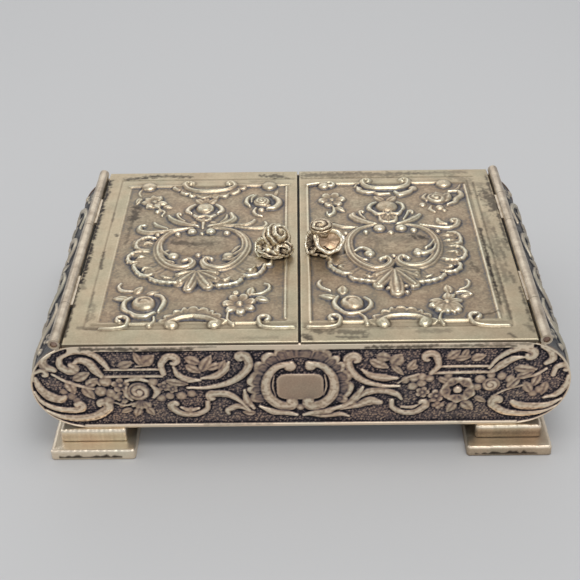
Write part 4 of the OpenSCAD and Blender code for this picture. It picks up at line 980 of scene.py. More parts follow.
def panel_right_half(r):
    """Scrolls and sprays right of the cartouche, in millimetres from the panel's middle and the floor."""
    draw_all(r, groove=0.14,
        beads=[([(80.6, 42.8), (84, 40.6), (85, 37.6), (83, 35.6)], [0.5, 1, 1.2, 0.8], 0.75),
            ([(91.2, 36), (89.4, 39), (87.4, 41.2)], [0.4, 0.8, 0.5], 0.6),
            (volute([(64, 33.8), (66.6, 37.8), (70.6, 41), (74.6, 42.2), (77.6, 41.2)], 2, -1, 4.2),
                [0.6, 1, 1.2, 1.2, 1.1, 1, 0.8], 0.85),
            ([(65, 32.2), (68, 35), (71.6, 37.6), (75.4, 38.4)], [0.9, 1.3, 1.1, 0.5], 0.8),
            ([(46.6, 34.6), (64, 34.6)], 0.55, 0.62), ([(45.6, 31.8), (64.6, 32)], 0.65, 0.62),
            (volute([(86, 30.4), (86.6, 33.6), (88.8, 34.8)], 1.8, -1, 3.4), [0.8, 1.1, 1.1, 1, 0.8], 0.78),
            ([(91.2, 30), (90.8, 25.6), (88, 21.6), (84, 20.2)], [0.6, 1, 1, 0.5], 0.78),
            ([(90, 19.6), (85.4, 16.8), (79.6, 16.2), (75.6, 16.8), (73.4, 18.2)],
                [0.5, 1.1, 1.3, 1.3, 0.9], 0.82),
            (volute([(88.6, 16.4), (84, 13.8), (77.6, 12.8), (71, 13.8), (67, 16.8)], 2, -1, 4),
                [0.5, 1, 1.2, 1.3, 1.4, 1.4, 1.1, 0.8], 0.85),
            (volute([(44.6, 31.6), (46.8, 35), (46, 38.8)], 2.6, 1, 4.2), [0.8, 1.1, 1.2, 1.1, 0.9, 0.7],
                0.8), (
                volute([(34, 26), (27.6, 26.4), (21.6, 28.6), (17.6, 32.6), (16.2, 37)], 2.3, -1, 4.4),
                [0.5, 1, 1.2, 1.4, 1.4, 1.2, 1, 0.8], 0.85),
            ([(21, 33.6), (24, 31), (28.6, 29.8), (33, 29.6)], [0.5, 1.1, 1.3, 0.6], 0.72),
            ([(10.6, 15.8), (16, 17.6), (19.6, 21.6), (21.4, 25.6)], [0.6, 1.2, 1.3, 0.6], 0.8),
            ([(19.6, 20.6), (23, 23.4), (28, 24.2), (33, 22.4), (35, 20)], [0.5, 1.2, 1.2, 1, 0.5], 0.78),
            ([(14, 15.8), (19.6, 17.6), (24, 19.4), (27.6, 18.6)], [0.5, 1.2, 1.5, 0.9], 0.8),
            (volute([(31.6, 19.4), (32, 16.4), (35.6, 14), (40, 14.2), (43, 16.6)], 1.7, 1, 3.6),
                [0.8, 1, 1.2, 1.2, 1, 0.8, 0.6], 0.8),
            ([(2, 13.6), (8, 12.8), (14, 13.4), (17, 12.4)], [0.5, 0.9, 0.9, 0.4], 0.7)])
    draw_all(r, beads=[([(33.4, 27.4), (36.6, 30), (40.4, 31.4)], [0.4, 0.5], 0.55),
            ([(66, 21), (70.6, 24), (76, 26)], [0.4, 0.5], 0.5),
            ([(76, 29.4), (80, 30.6), (83.4, 33.2)], [0.4, 0.7, 0.5], 0.62),
            ([(41, 17.6), (38.6, 16.4), (35, 16.6)], [0.4, 0.8, 0.5], 0.55)],
        balls=[(61.4, 28.8, 1.6, 0.65), (60.6, 25.4, 1.4, 0.6), (38.8, 29.4, 1.5, 0.65),
            (41.6, 30, 1.4, 0.65), (38.6, 26, 1.5, 0.65), (44, 29.4, 1.4, 0.6), (41.4, 27.4, 1.5, 0.65),
            (36, 28.8, 1.3, 0.55), (47.4, 18.4, 0.9, 0.5), (49, 17.4, 0.9, 0.5), (47.8, 16.4, 0.9, 0.5),
            (46.4, 17.2, 0.8, 0.45), (45, 19.4, 0.8, 0.45), (71.6, 28.8, 1.4, 0.6), (68.6, 30, 1.4, 0.6),
            (65, 30.6, 1.3, 0.6), (82, 24, 1.4, 0.5), (80, 22.4, 1.3, 0.45), (50.4, 30.4, 1.3, 0.55)],
        leaves=[(23.6, 37.6, -28, 7.4, 1.6, 0.7), (25.6, 39.6, -14, 5.6, 1.8, 0.65),
            (31.4, 35.4, 60, 5.6, 2.2, 0.65), (36.6, 33.4, 60, 5, 1.2, 0.55), (31, 35.6, -48, 6.4, 1, 0.6),
            (49.6, 38, 40, 5.6, 1.6, 0.6), (52, 38, 8, 5.6, 1.3, 0.55), (54.6, 38.4, 66, 4.4, 1.1, 0.5),
            (57.6, 37.6, 20, 5.2, 1.4, 0.6), (40, 35, 200, 4, 1, 0.55), (72.4, 33.6, -6, 8, 1.5, 0.65),
            (73.6, 29.4, 24, 6.6, 1.5, 0.65), (71, 24.6, 52, 6.4, 1.6, 0.65),
            (76.6, 27.4, -60, 6, 1.5, 0.6), (79.6, 25.6, 70, 6, 1.4, 0.6), (84, 27.4, -100, 6, 1.4, 0.55),
            (53.6, 18.6, -118, 5.4, 1.5, 0.6), (55.6, 19, -42, 6, 1.7, 0.65), (60, 21, -30, 5, 1, 0.5),
            (47, 29.6, -28, 6, 1.2, 0.6)])
    for turn, reach, radius in [(270, 3.6, 2.5), (340, 4.2, 2.7), (52, 4.4, 2.5), (118, 4.4, 2.3),
            (188, 4.2, 2.4)]:
        x, z = 54 + reach * np.cos(np.radians(turn)), 24 + reach * np.sin(np.radians(turn))
        r.shell(x - 0.45 * reach * np.cos(np.radians(turn)), z - 0.45 * reach * np.sin(np.radians(turn)),
            turn, radius + 1.2, 0.85, 3, 88, 0.5)
    r.ball(54, 24, 1.3, 0.9)
    r.flower(46.8, 21.4, 2.9, 5, 0.7, 30)
    r.flower(42, 23.2, 2.5, 5, 0.65, 0)
    r.rose(65.2, 26.4, 3.2, 0.8, 0, 0.5)


def panel_middle(r):
    """The round cartouche: two C-scrolls round a plain field, with a scalloped crest and a scrolled foot."""
    r.ruffle(0, 26.6, 12.4, 18.2, -30, 210, 14, 0.82, 1.2, 0.5)
    for s in (-1, 1):
        r.bead(volute([(s * 3, 36.4), (s * 7.6, 35.2), (s * 10.8, 31.2), (s * 11.8, 26.4), (s * 10.8, 21.8),
                    (s * 7.6, 18.2), (s * 4, 17.4)], 1.8, -s, 3.8),
            [1, 1.2, 1.4, 1.5, 1.5, 1.4, 1.3, 1.1, 0.9], 0.9, 0.12)
        r.bead([(s * 1.2, 13.2), (s * 5, 14.4), (s * 9.6, 15), (s * 14, 17.4)], [0.6, 1.1, 1.2, 0.5], 0.8)
    draw_all(r, balls=[(-3.4, 35.2, 1.8, 0.9), (3.6, 35.2, 1.6, 0.9), (-2.8, 19.2, 1.8, 0.9),
            (2.6, 19.4, 1.7, 0.9), (0, 17, 1.3, 0.7)],
        beads=[([(-8.8, 31.4), (-9.4, 26.6), (-8.4, 22)], [0.3, 0.45, 0.3], 0.6),
            ([(8.4, 31.4), (9, 26.6), (8, 22)], [0.3, 0.45, 0.3], 0.6)])


DRAWN_X = 92.4       # half width at which the ornament above is drawn
DRAWN_LOW = 8.6      # height of the panel's lower edge in that drawing
PANEL_SQUEEZE = DRAWN_X / panel_high[0]
panel_rise = panel_low[2] - DRAWN_LOW


def stadium_half(x):
    """Half height of the panel at a place along it: its radius, falling as a circle in the round ends."""
    return np.sqrt(np.clip(END_R**2 - np.clip(np.abs(x) - END_X, 0, None) ** 2, 0, None))


def panel_relief():
    """Height and tone over a panel: ornament on a matted ground, plain bands, and a domed cartouche."""
    r = Relief(-DRAWN_X - 1, DRAWN_LOW - 1, 2 * DRAWN_X + 2, 2 * END_R + 2, -0.6, 0.2)
    r.grow, r.taper = 1.28, 1.3
    panel_middle(r)
    panel_left_half(r)
    panel_right_half(r)
    x, z = r.x[None, :], r.y[:, None]
    random = np.random.default_rng(4)
    # round punch marks, one about every 0.8 mm, each moved a little and of its own height
    pitch, mark = 0.82, 0.36
    count = (int(len(r.y) * r.cell / pitch) + 1, int(len(r.x) * r.cell / pitch) + 1)
    punch = np.zeros(r.z.shape, np.float32)
    rows, columns = np.mgrid[0:count[0], 0:count[1]]
    across = r.x[0] + (columns + 0.5 * (rows % 2) + random.uniform(-0.28, 0.28, count)) * pitch
    up = r.y[0] + (rows + random.uniform(-0.28, 0.28, count)) * pitch
    spots = np.stack([across, up, random.uniform(0.1, 1, count)], -1).reshape(-1, 3)
    reach = np.arange(-2, 3)
    for dj in reach:
        for di in reach:
            i = np.clip(((spots[:, 0] - r.x[0]) / r.cell).round().astype(int) + di, 0, len(r.x) - 1)
            j = np.clip(((spots[:, 1] - r.y[0]) / r.cell).round().astype(int) + dj, 0, len(r.y) - 1)
            d = np.hypot(r.x[i] - spots[:, 0], r.y[j] - spots[:, 1]) / mark
            np.maximum.at(punch, (j, i), (0.2 * spots[:, 2] * dome(d)).astype(np.float32))
    field = ((x / 8.2) ** 4 + ((z - 26.7) / 5.9) ** 4) < 1
    bulge = 0.42 + 0.16 * dome(np.sqrt((x / 10) ** 2 + ((z - 26.7) / 7.5) ** 2))
    end_x = DRAWN_X - END_R
    top = soft_step(z, DRAWN_LOW + 2 * END_R - 2.5, 0.4) * (np.abs(x) < end_x + 4)
    low = 1 - soft_step(z, DRAWN_LOW + 1.5, 0.4)
    worked = 1 + 0.16 * smooth_noise(r.z.shape, (48, 190), 7)
    worked = worked + 0.05 * smooth_noise(r.z.shape, (110, 430), 8)
    total = np.maximum(punch, np.minimum(r.z * 0.92 * worked, 0.95))
    total = np.maximum(total, np.where(field, bulge, 0))
    total = np.maximum(total, 0.62 * top)
    total = np.maximum(total, 0.66 * low * (np.abs(x) < end_x + 2))
    round_end = np.hypot(np.clip(np.abs(x) - end_x, 0, None), z - DRAWN_LOW - END_R)
    rim = engraved(np.where(np.abs(x) > end_x, END_R - round_end, 9) - 0.35, 0.4)
    total = np.maximum(total, 0.6 * rim)
    total = blur(total, 0.14 / r.cell)
    # tone rises with height: a dark oxidised ground, and crests lighter both from rubbed metal and from
    # painted highlight
    share = np.clip(total / 0.8, 0, 1)
    tone = 0.33 + 0.27 * share + 0.12 * share**4 + tone_from(total, r.cell, 1.7, 0.55)
    tone = tone + 1.0 * punch * (r.z < 0.2) * ~field + 0.36 * top + 0.20 * low
    return r, total, tone


PANEL_STAINS = [(-73, 44.4, -54, 44.1, 0.6, 0.8), (-54, 43.6, -36, 43.9, 0.6, 0.8),
    (-40, 44.6, -28, 44.9, 0.3, 0.5), (22, 44.0, 44, 44.1, 0.6, 0.8), (44, 44.3, 72, 44.1, 0.5, 0.7),
    (-20, 43.2, 20, 43.1, 0.3, 0.35), (62, 44.9, 78, 45, 0.5, 0.5), (-34, 9.8, -10, 9.9, 0.3, 0.4),
    (52, 12, 56, 11, 1.0, 0.3)]


def panel_piece(name, turned):
    """A panel: its relief in front and a flat back behind, turned half round for the back of the case."""
    r, total, tone = panel_relief()
    stain_and_shade = stain_and_shade_field(r, PANEL_STAINS, 31)
    arc = np.radians(np.linspace(0, 89.85, 90))
    straight = np.linspace(-END_X, END_X, 500)
    x = np.concatenate([-END_X - END_R * np.sin(arc[:0:-1]), straight, END_X + END_R * np.sin(arc[1:])])
    t = np.sin(np.radians(np.linspace(-1, 1, 131) * 52)) / np.sin(np.radians(52))
    gx, gt = np.meshgrid(x, t)
    gz = MID_Z + gt * stadium_half(gx)
    across, up = gx * PANEL_SQUEEZE, gz - panel_rise
    to_end = END_R - np.hypot(np.abs(gx) - END_X, gz - MID_Z)
    rim = np.minimum(stadium_half(gx) - np.abs(gz - MID_Z), np.where(np.abs(gx) > END_X, to_end, 9))
    height = sample(r, total, across, up) * np.clip(rim / 0.22 + 0.35, 0, 1)
    ground = -panel_low[1] - 0.7
    top = np.stack([gx, -ground - height, gz], -1)
    edge = top.reshape(-1, 3)[edge_loop(*gx.shape)]

    def ring(inset, y):
        """The panel's edge drawn in by an inset, at a place along the depth."""
        middle = np.array([0, MID_Z])
        size = np.array([panel_high[0], END_R])
        flat = middle + (edge[:, [0, 2]] - middle) * (1 - inset / size)
        return np.column_stack([flat[:, 0], np.full(len(edge), y), flat[:, 1]])

    rings = [ring(0, -ground + 0.15), ring(0, -panel_inner - 0.1), ring(0.1, -panel_inner)]
    bright = sample(r, tone, across, up) + 0.2 * np.clip(1 - rim / 0.5, 0, 1)
    attributes = {"tone": bright, "stain_and_shade": sample(r, stain_and_shade, across, up), "border": np.zeros(gx.shape)}
    if turned:
        top[..., :2] *= -1
        for one in rings:
            one[:, :2] *= -1
    piece = close_sheet(name, top, rings, attributes)
    print(f"{name}: {len(piece.data.polygons)} faces")
    return piece


panel_inner = -node_box("left_lining_ends")[0][1]
MATTED = [(0.0, "#1c1b20"), (0.22, "#3a373f"), (0.33, "#675e61"), (0.45, "#948179"), (0.58, "#b29c8a"),
    (0.74, "#cfb9a3"), (0.92, "#f0dfc9")]
PANEL_SILVER = silver_material("oxidised_silver_plate_matted", MATTED, MATTED, roughness=(0.32, 0.6))
for name, node, turned in [("front_panel_embossed", "front_panel", False),
        ("back_panel_embossed", "back_panel", True)]:
    panel = panel_piece(name, turned)
    panel.data.materials.append(PANEL_SILVER)
    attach(panel, "case")
    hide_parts(node)

# %% [markdown]
# The rounded ends are half-round sheets between the panels. Only a strip of each shows in the picture,
# where scrolls and leaves stand out past the panel's edge, so the rest repeats forms of the same kind.
# The sheet is a profile, up the half circle and along the two flanges, carried from the front panel to
# the back one.
# %% Side walls
WALL_R = END_R - 0.35
WALL_IN = WALL_R - 1.2
WALL_LENGTH = 2 * panel_inner


def wall_relief():
    """Relief over the unrolled wall: up the arc from below to above, and along the depth of the case."""
    arc = np.pi * WALL_R
    r = Relief(-WALL_LENGTH / 2, 0, WALL_LENGTH, arc, 0, 0.25)
    for flip in (1, -1):
        r.flip = flip
        draw_all(r, groove=0.3,
            beads=[(volute([(2, 12), (8, 9.6), (15, 10), (20.6, 14), (22, 20), (19, 25)], 3.2, 1, 4.4),
                    [0.6, 1.4, 1.8, 2.0, 2.0, 1.8, 1.5, 1.1, 0.9], 1.5),
                (volute([(24, 13), (31, 10), (39, 11.4), (44.4, 17), (44.6, 24), (40, 29.4)], 3.6, 1, 4.4),
                    [0.5, 1.3, 1.8, 2.0, 2.0, 1.8, 1.5, 1.1, 0.9], 1.5),
                (volute([(50.6, 12), (53, 18), (52.8, 25), (49.6, 31), (45.6, 34)], 2.6, 1, 4.0),
                    [0.6, 1.4, 1.7, 1.8, 1.6, 1.3, 1.1, 0.9, 0.8], 1.5),
                (volute([(4, 40), (11, 42.4), (18, 41), (23, 36.4)], 2.6, -1, 4.0),
                    [0.5, 1.2, 1.5, 1.6, 1.2, 1.0, 0.8], 1.4),
                (volute([(26, 42), (33, 43.6), (40.6, 41.4), (46, 37)], 2.2, -1, 3.6),
                    [0.5, 1.2, 1.5, 1.4, 1.1, 1.0, 0.8], 1.4)])
        draw_all(r,
            balls=[(18.2, 21.4, 1.8, 1.4), (37.4, 25.2, 2.0, 1.4), (52, 40, 1.6, 1.2), (8, 30, 1.2, 1.0)],
            leaves=[(6, 16, 60, 9, 2.4, 1.3), (6, 16, 100, 8, 2.0, 1.2), (6, 16, 140, 8, 2.0, 1.2),
                (24, 30, 60, 8, 2.2, 1.3), (24, 30, 20, 9, 2.2, 1.3), (24, 30, 110, 7, 1.8, 1.1),
                (46, 12, 100, 8, 2.0, 1.2), (28, 20, 30, 8, 2.0, 1.2), (28, 20, -10, 7, 1.8, 1.1),
                (14, 32, 160, 6, 1.6, 1.1), (36, 33, 80, 7, 1.8, 1.2), (36, 33, 130, 6, 1.6, 1.0)],
            shells=[(30, 27, 200, 4.6, 1.2, 5, 90), (12, 34.6, 80, 4.4, 1.1, 5, 90)])
        r.flower(13, 26.6, 4.8, 6, 1.4, 10)
        r.rose(31.6, 33.6, 4.2, 1.5, 70, 0.5)
        r.flower(47.6, 44, 3.0, 5, 1.1, 0)
    r.flip = 1
    for turn in (90, 58, 122, 30, 150):
        r.leaf(0, 14, turn, 12, 2.2, 1.4)
    r.rose(0, 28.6, 4.4, 1.6, 0, 0.5)
    draw_all(r, leaves=[(0, 34, 40, 7, 2, 1.2), (0, 34, 140, 7, 2, 1.2), (0, 34, 90, 8, 2, 1.2)])
    along, up = r.x[None, :], r.y[:, None]
    window = sunk_field(up, along, 6, 45.5, r.x[0] + 2.4, WALL_LENGTH / 2 - 2.4, 3)
    total = blur(r.z * window, 0.18 / r.cell)
    total = total + 0.05 * smooth_noise(total.shape, (60, 110), 9) * window
    speckle = smooth_noise(total.shape, (70, 150), 12) * window * (r.z < 0.2)
    tone = 0.40 + 0.18 * np.clip(total, 0, 1) + tone_from(total, r.cell, 0.8, 0.36)
    tone = tone - 0.04 * window + 0.05 * speckle
    return r, total, tone


def wall_piece(side):
    """A wall: a profile carried along the depth, the same profile set inwards behind it, joined all round."""
    r, total, tone = wall_relief()
    flat = np.linspace(-2.2, -0.2, 5)
    arc = np.linspace(0, np.pi * WALL_R, 176)
    s = np.concatenate([flat, arc, np.pi * WALL_R - flat[::-1]])
    y = np.concatenate(
        [[-WALL_LENGTH / 2], np.linspace(-WALL_LENGTH / 2, WALL_LENGTH / 2, 352)[1:-1], [WALL_LENGTH / 2]])
    gy, gs = np.meshgrid(y, s)
    on_arc = np.clip(gs, 0, np.pi * WALL_R)
    beyond = np.abs(gs - on_arc)
    a = on_arc / WALL_R - np.pi / 2

    def lay(radius):
        """The profile at a radius: a half circle with a flange beyond each of its ends."""
        return np.stack([END_X + radius * np.cos(a) - beyond, gy, MID_Z + radius * np.sin(a)], -1)

    outer = lay(WALL_R + np.clip(sample(r, total, gy, on_arc), 0, 1.55))
    inner = lay(WALL_IN + 0 * gs)[:, [0, -1]]
    n, m = gs.shape
    base = n * m
    faces = [grid_faces(n, m), grid_faces(n, 2, start=base)[:, ::-1]]
    k = np.arange(n - 1)
    faces.append(np.stack([k * m, (k + 1) * m, base + (k + 1) * 2, base + k * 2], -1))
    faces.append(
        np.stack([(k + 1) * m + m - 1, k * m + m - 1, base + k * 2 + 1, base + (k + 1) * 2 + 1], -1))
    faces.append(np.concatenate([np.arange(m)[::-1], [base, base + 1]])[None, :])
    faces.append(
        np.concatenate([(n - 1) * m + np.arange(m), [base + 2 * n - 1, base + 2 * n - 2]])[None, :])
    points = np.vstack([outer.reshape(-1, 3), inner.reshape(-1, 3)])
    if side == "left":
        points[:, :2] *= -1
    bright = np.concatenate([sample(r, tone, gy, on_arc).ravel(), np.full(2 * n, 0.45)])
    piece = write_mesh(f"{side}_side_wall_embossed", points, faces,
        {"tone": bright, "stain_and_shade": np.zeros(len(points)), "border": np.zeros(len(points))})
    print(f"{side} side wall: {len(piece.data.polygons)} faces")
    return piece


# the side ramp is darker and greyer than the lids' one: painted reflection of dark blue-grey surroundings in
# the rounded ends, over the oxidised silver
WALL_SILVER = silver_material("oxidised_silver_plate_side_painted_reflection",
    [(0.0, "#242326"), (0.3, "#4f4e51"), (0.42, "#6a696a"), (0.52, "#89847c"), (0.66, "#aba194"),
        (0.85, "#c8bda9")], [(0.0, "#1a191c"), (1.0, "#d3c7a6")], roughness=(0.34, 0.55))
for side in ("left", "right"):
    wall = wall_piece(side)
    wall.data.materials.append(WALL_SILVER)
    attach(wall, "case")
    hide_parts(f"{side}_side_wall")


# %% [markdown]
# Each foot is a square slab with a smaller step on it, both folded from sheet and rubbed round along
# every edge. A rounded square outline is carried through rings that roll over at the bottom and the top,
# and shallow dents keep the edges from looking machined.
# %% Feet
def rounded_square(half, corner, per_edge=60, per_corner=10):
    """Outline of a square with round corners, anticlockwise from above, and its outward directions."""
    inner = half - corner
    points, outward = [], []
    for quarter in range(4):
        a = np.pi / 2 * quarter
        turn = np.array([[np.cos(a), -np.sin(a)], [np.sin(a), np.cos(a)]])
        line = np.column_stack([np.full(per_edge, half), np.linspace(-inner, inner, per_edge)])
        bend = np.linspace(0, np.pi / 2, per_corner + 2)[1:-1]
        away = np.column_stack([np.cos(bend), np.sin(bend)])
        points.append(np.vstack([line, inner + corner * away]) @ turn.T)
        outward.append(np.vstack([np.tile([1.0, 0], (per_edge, 1)), away]) @ turn.T)
    return np.vstack(points), np.vstack(outward)


def block_piece(name, node, edge_top, seed, lip=0.0, bright=0.0, worn_front=0.0):
    """A slab or step inside the CAD node's box, from rings of its outline with rolled edges."""
    low, high = node_box(node)
    outline, outward = rounded_square((high[0] - low[0]) / 2, 1.2)
    middle = (low + high)[:2] / 2
    n = len(outline)
    random = np.random.default_rng(seed)
    wave = np.linspace(0, 2 * np.pi, n, endpoint=False)
    waves = (3, 7, 13, 22, 37, 61)
    swings = [random.uniform(0.2, 1) * np.sin(k * wave + random.uniform(0, 6.3)) for k in waves]
    dents = 0.045 * (sum(swings) - sum(swings).max())
    height = high[2] - low[2]
    profile = [(3.0, 0), (0.45, 0), (0.12, 0.1), (0, 0.35)]
    rise = height - edge_top - 0.35
    profile += [(0.05 * np.sin(np.pi * k / 8), 0.35 + rise * k / 8) for k in range(1, 9)]
    bends = np.radians([20, 42, 64, 90])
    profile += [(edge_top * (1 - np.cos(b)), height - edge_top * (1 - np.sin(b))) for b in bends]
    profile += [(edge_top + 0.5, height - 0.02), (edge_top + 1.6, height - lip), (5.5, height - lip)]
    half = (high[0] - low[0]) / 2

    def ring(inset, z):
        """The outline drawn in by an inset and dented a little, at a height over the node's foot."""
        flat = middle + outline * (1 - inset / half) + outward * dents[:, None] * (0.3 + z / height)
        return np.column_stack([flat, np.full(n, low[2] + z)])

    rings = [ring(inset, z) for inset, z in profile]
    points = np.vstack(rings)
    faces = [grid_faces(len(rings), n, wrap=True), np.arange(n)[::-1][None, :],
        ((len(rings) - 1) * n + np.arange(n))[None, :]]
    z = points[:, 2] - low[2]
    worn = np.repeat([0.3 if z < 0.2 else 0.42 for inset, z in profile], n).astype(float)
    marks = np.arange(0, n + 8, 8)
    rubbed = 0.06 * np.interp(np.tile(np.arange(n), len(rings)), marks, random.uniform(-1, 1, len(marks)))
    crest = np.exp(-(((z - (height - edge_top * 0.5)) / (0.8 * edge_top)) ** 2))
    flat_top = np.repeat([0.10 * (inset > edge_top + 1 and z > 1) for inset, z in profile], n)
    band = np.exp(-(((z - 0.42 * height) / (0.2 * height)) ** 2)) * (0.16 if edge_top > 0.8 else 0.0)
    # bright lifts or lowers the tone of the whole foot: painted light
    tone = worn + 0.19 + bright - flat_top + 0.26 * crest - 0.12 * np.clip(1 - z / (0.4 * height), 0, 1)
    tone = tone + 0.6 * rubbed - band
    # a black patch where the plate has gone from the front, about 20 mm long
    along = (points[:, 0] - middle[0]) / half
    ragged = np.interp(along, np.linspace(-1, 1, 25), random.uniform(-1, 1, 25))
    patch = 1.5 - np.abs(z - (0.3 + 0.10 * ragged) * height) / ((0.11 + 0.10 * ragged) * height)
    front = (np.abs(along + 0.06) < 0.74) * (points[:, 1] < low[1] + 0.6)
    stain_and_shade = worn_front * np.clip(patch, 0, 1) * front
    return write_mesh(name, points, faces, {"tone": tone, "stain_and_shade": stain_and_shade, "border": np.ones(len(points))})


FOOT_SILVER = silver_material("worn_silver_plate_plain", [(0.0, "#1c191a"), (0.9, "#f1e9cf")],
    [(0.0, "#1c1917"), (0.28, "#564a40"), (0.42, "#978775"), (0.54, "#c0af9a"), (0.68, "#dccbb4"),
        (0.86, "#f3e7d3")], roughness=(0.30, 0.5))
for index, place in enumerate(["front_left", "front_right", "back_left", "back_right"]):
    for kind, edge_top, lip in [("slab", 0.7, 0.12), ("step", 0.9, 0.0)]:
        # the left feet are painted lighter and the right ones darker: painted light from the left
        bright = 0.16 if place.endswith("left") else -0.08
        piece = block_piece(f"foot_{kind}_{place}_worn", f"foot_{kind}_{place}", edge_top,
            40 + index * 2 + len(kind), lip, bright, 0.95 if kind == "slab" else 0.0)
        piece.data.materials.append(FOOT_SILVER)
        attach(piece, "case")
        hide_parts(f"foot_{kind}_{place}")
print("feet ready")

# %% [markdown]
# The knobs are small castings: thick petals wound round a bud, worn soft, with black left in the folds.
# Each lump is a ball whose surface steps out and in along a spiral round the direction that it faces. The
# open petals are shallow spoons with a rolled rim.
# %% Knobs
def axes_of(aim):
    """Three axes, as rows, of which the third points along an aim and the second one upwards."""
    ahead = np.array(aim, float) / np.linalg.norm(aim)
    side = np.cross([0.0, 0.0, 1.0], ahead)
    side /= np.linalg.norm(side)
    return np.array([side, np.cross(ahead, side), ahead])


def pole_faces(rings, n):
    """Faces of rings of n points and of the two poles that follow them, the upper pole first."""
    top, low = rings * n, rings * n + 1
    k = np.arange(n)
    up = np.stack([np.full(n, top), k, (k + 1) % n], -1)
    down = np.stack([np.full(n, low), (rings - 1) * n + (k + 1) % n, (rings - 1) * n + k], -1)
    return [grid_faces(rings, n, wrap=True)[:, ::-1], up, down]


def closed_shell(at, points, tone, worn=None):
    """Rings of points closed by a pole at each end, with a tone and a share of worn metal at each point."""
    rings, n = points.shape[:2]
    every = np.vstack([points.reshape(-1, 3), points[0].mean(0), points[-1].mean(0)]) + np.array(at)
    worn = np.zeros(tone.shape) if worn is None else worn
    return (every, pole_faces(rings, n), np.append(tone.ravel(), [tone[0].mean(), tone[-1].mean()]),
        np.append(worn.ravel(), [worn[0].mean(), worn[-1].mean()]))


def wound_lump(at, size, aim, winds, depth, hand=1, seed=0.0, dark=0.0, crumple=0.0, rings=84, n=150):
    """Petals wound round a ball: each coil rises steeply from a groove to its rim, then falls away."""
    azimuth = np.linspace(0, 2 * np.pi, n, endpoint=False)[None, :]
    polar = np.linspace(0.04, np.pi - 0.04, rings)[:, None]
    warp = 0.20 * np.sin(azimuth + seed) + 0.17 * np.sin(2 * azimuth + 3 * seed) * np.sin(polar)
    warp = warp + 0.08 * np.sin(5 * azimuth + 2.3 * seed + 2 * polar) * np.sin(polar)
    coil = np.mod(winds * polar / np.pi + hand * azimuth / (2 * np.pi) + warp, 1.0)
    rise = np.clip(coil / 0.24, 0, 1)
    ridge = rise * rise * (3 - 2 * rise) * (1 - np.clip((coil - 0.24) / 0.76, 0, 1) ** 1.6)
    fold = 1 - np.abs(np.sin(4 * azimuth + 2.4 * np.sin(3 * polar + seed))
        * np.sin(5 * polar + 1.9 * np.sin(3 * azimuth)))
    depth = depth * (0.72 + 0.28 * np.sin(2 * azimuth + 2 * polar + seed))
    out = 1 + depth * (ridge - 0.5) + crumple * (fold**2 - 0.4)
    out = out + 0.02 * np.sin(9 * azimuth + seed) * np.sin(7 * polar)
    ball = np.stack(
        [np.sin(polar) * np.cos(azimuth), np.sin(polar) * np.sin(azimuth), np.cos(polar) + 0 * azimuth], -1)
    # dark shifts the whole lump's tone; below, it paints shadow on the right rose's bud under its head and on
    # its base
    tone = 0.18 + 0.52 * ridge + 2.6 * crumple * (fold**2 - 0.4) - dark
    tone = tone + 0.05 * np.sin(23 * azimuth + 9 * polar)
    return closed_shell(at, (ball @ axes_of(aim)) * out[..., None] * np.array(size), tone)


def spoon_petal(at, aim, spin, wide, tall, hollow, thick, seed=0.0, inside=0.42, ribs=0.0, worn=0.0,
        heavy=0.0, n=130):
    """An open petal: hollow towards its aim, with a thick rolled and waving rim, and round behind."""
    azimuth = np.linspace(0, 2 * np.pi, n, endpoint=False)[None, :]
    rings, back_rings = 42, 22
    rho = np.concatenate([np.linspace(0.04, 1, rings), np.linspace(1, 0.04, back_rings)[1:]])[:, None]
    front = np.arange(len(rho))[:, None] < rings
    edge = 1 + 0.05 * np.sin(3 * azimuth + seed) + 0.03 * np.sin(7 * azimuth + 2 * seed)
    roll = dome(np.clip((rho - 0.82) / 0.18, -1, 1))
    lip = 0.75 + 0.25 * np.sin(2 * azimuth + seed) + 0.2 * np.sin(9 * azimuth + seed)
    lip = lip * (1 - heavy * (0.5 - 0.5 * np.cos(azimuth + 1.2)))
    streak = np.sin(26 * azimuth + seed) * np.clip(rho * (1.1 - rho) * 3, 0, 1)
    bowl = -hollow * np.clip(1 - (rho / 0.85) ** 2, 0, 1) + 0.5 * thick * roll * lip
    bowl = bowl + 0.10 * streak * (ribs > 0)
    back = -(0.7 * hollow + 0.8 * thick) * np.sqrt(np.clip(1 - rho**2, 0, 1))
    x, y = wide * rho * edge * np.cos(azimuth), tall * rho * edge * np.sin(azimuth)
    turn = np.radians(spin)
    flat = np.stack([x * np.cos(turn) - y * np.sin(turn), x * np.sin(turn) + y * np.cos(turn),
            np.where(front, bowl, back)], -1)
    mottle = 0.05 * np.sin(5 * azimuth + 6 * rho + seed) + 0.04 * np.sin(11 * azimuth - 9 * rho)
    cup = inside + mottle + ribs * streak - 0.16 * np.clip(1 - rho / 0.3, 0, 1) + 0.5 * roll * lip
    tone = np.where(front, cup, 0.34)
    return closed_shell(at, flat @ axes_of(aim), tone, np.where(front, worn * (1 - roll), 0) + 0 * azimuth)


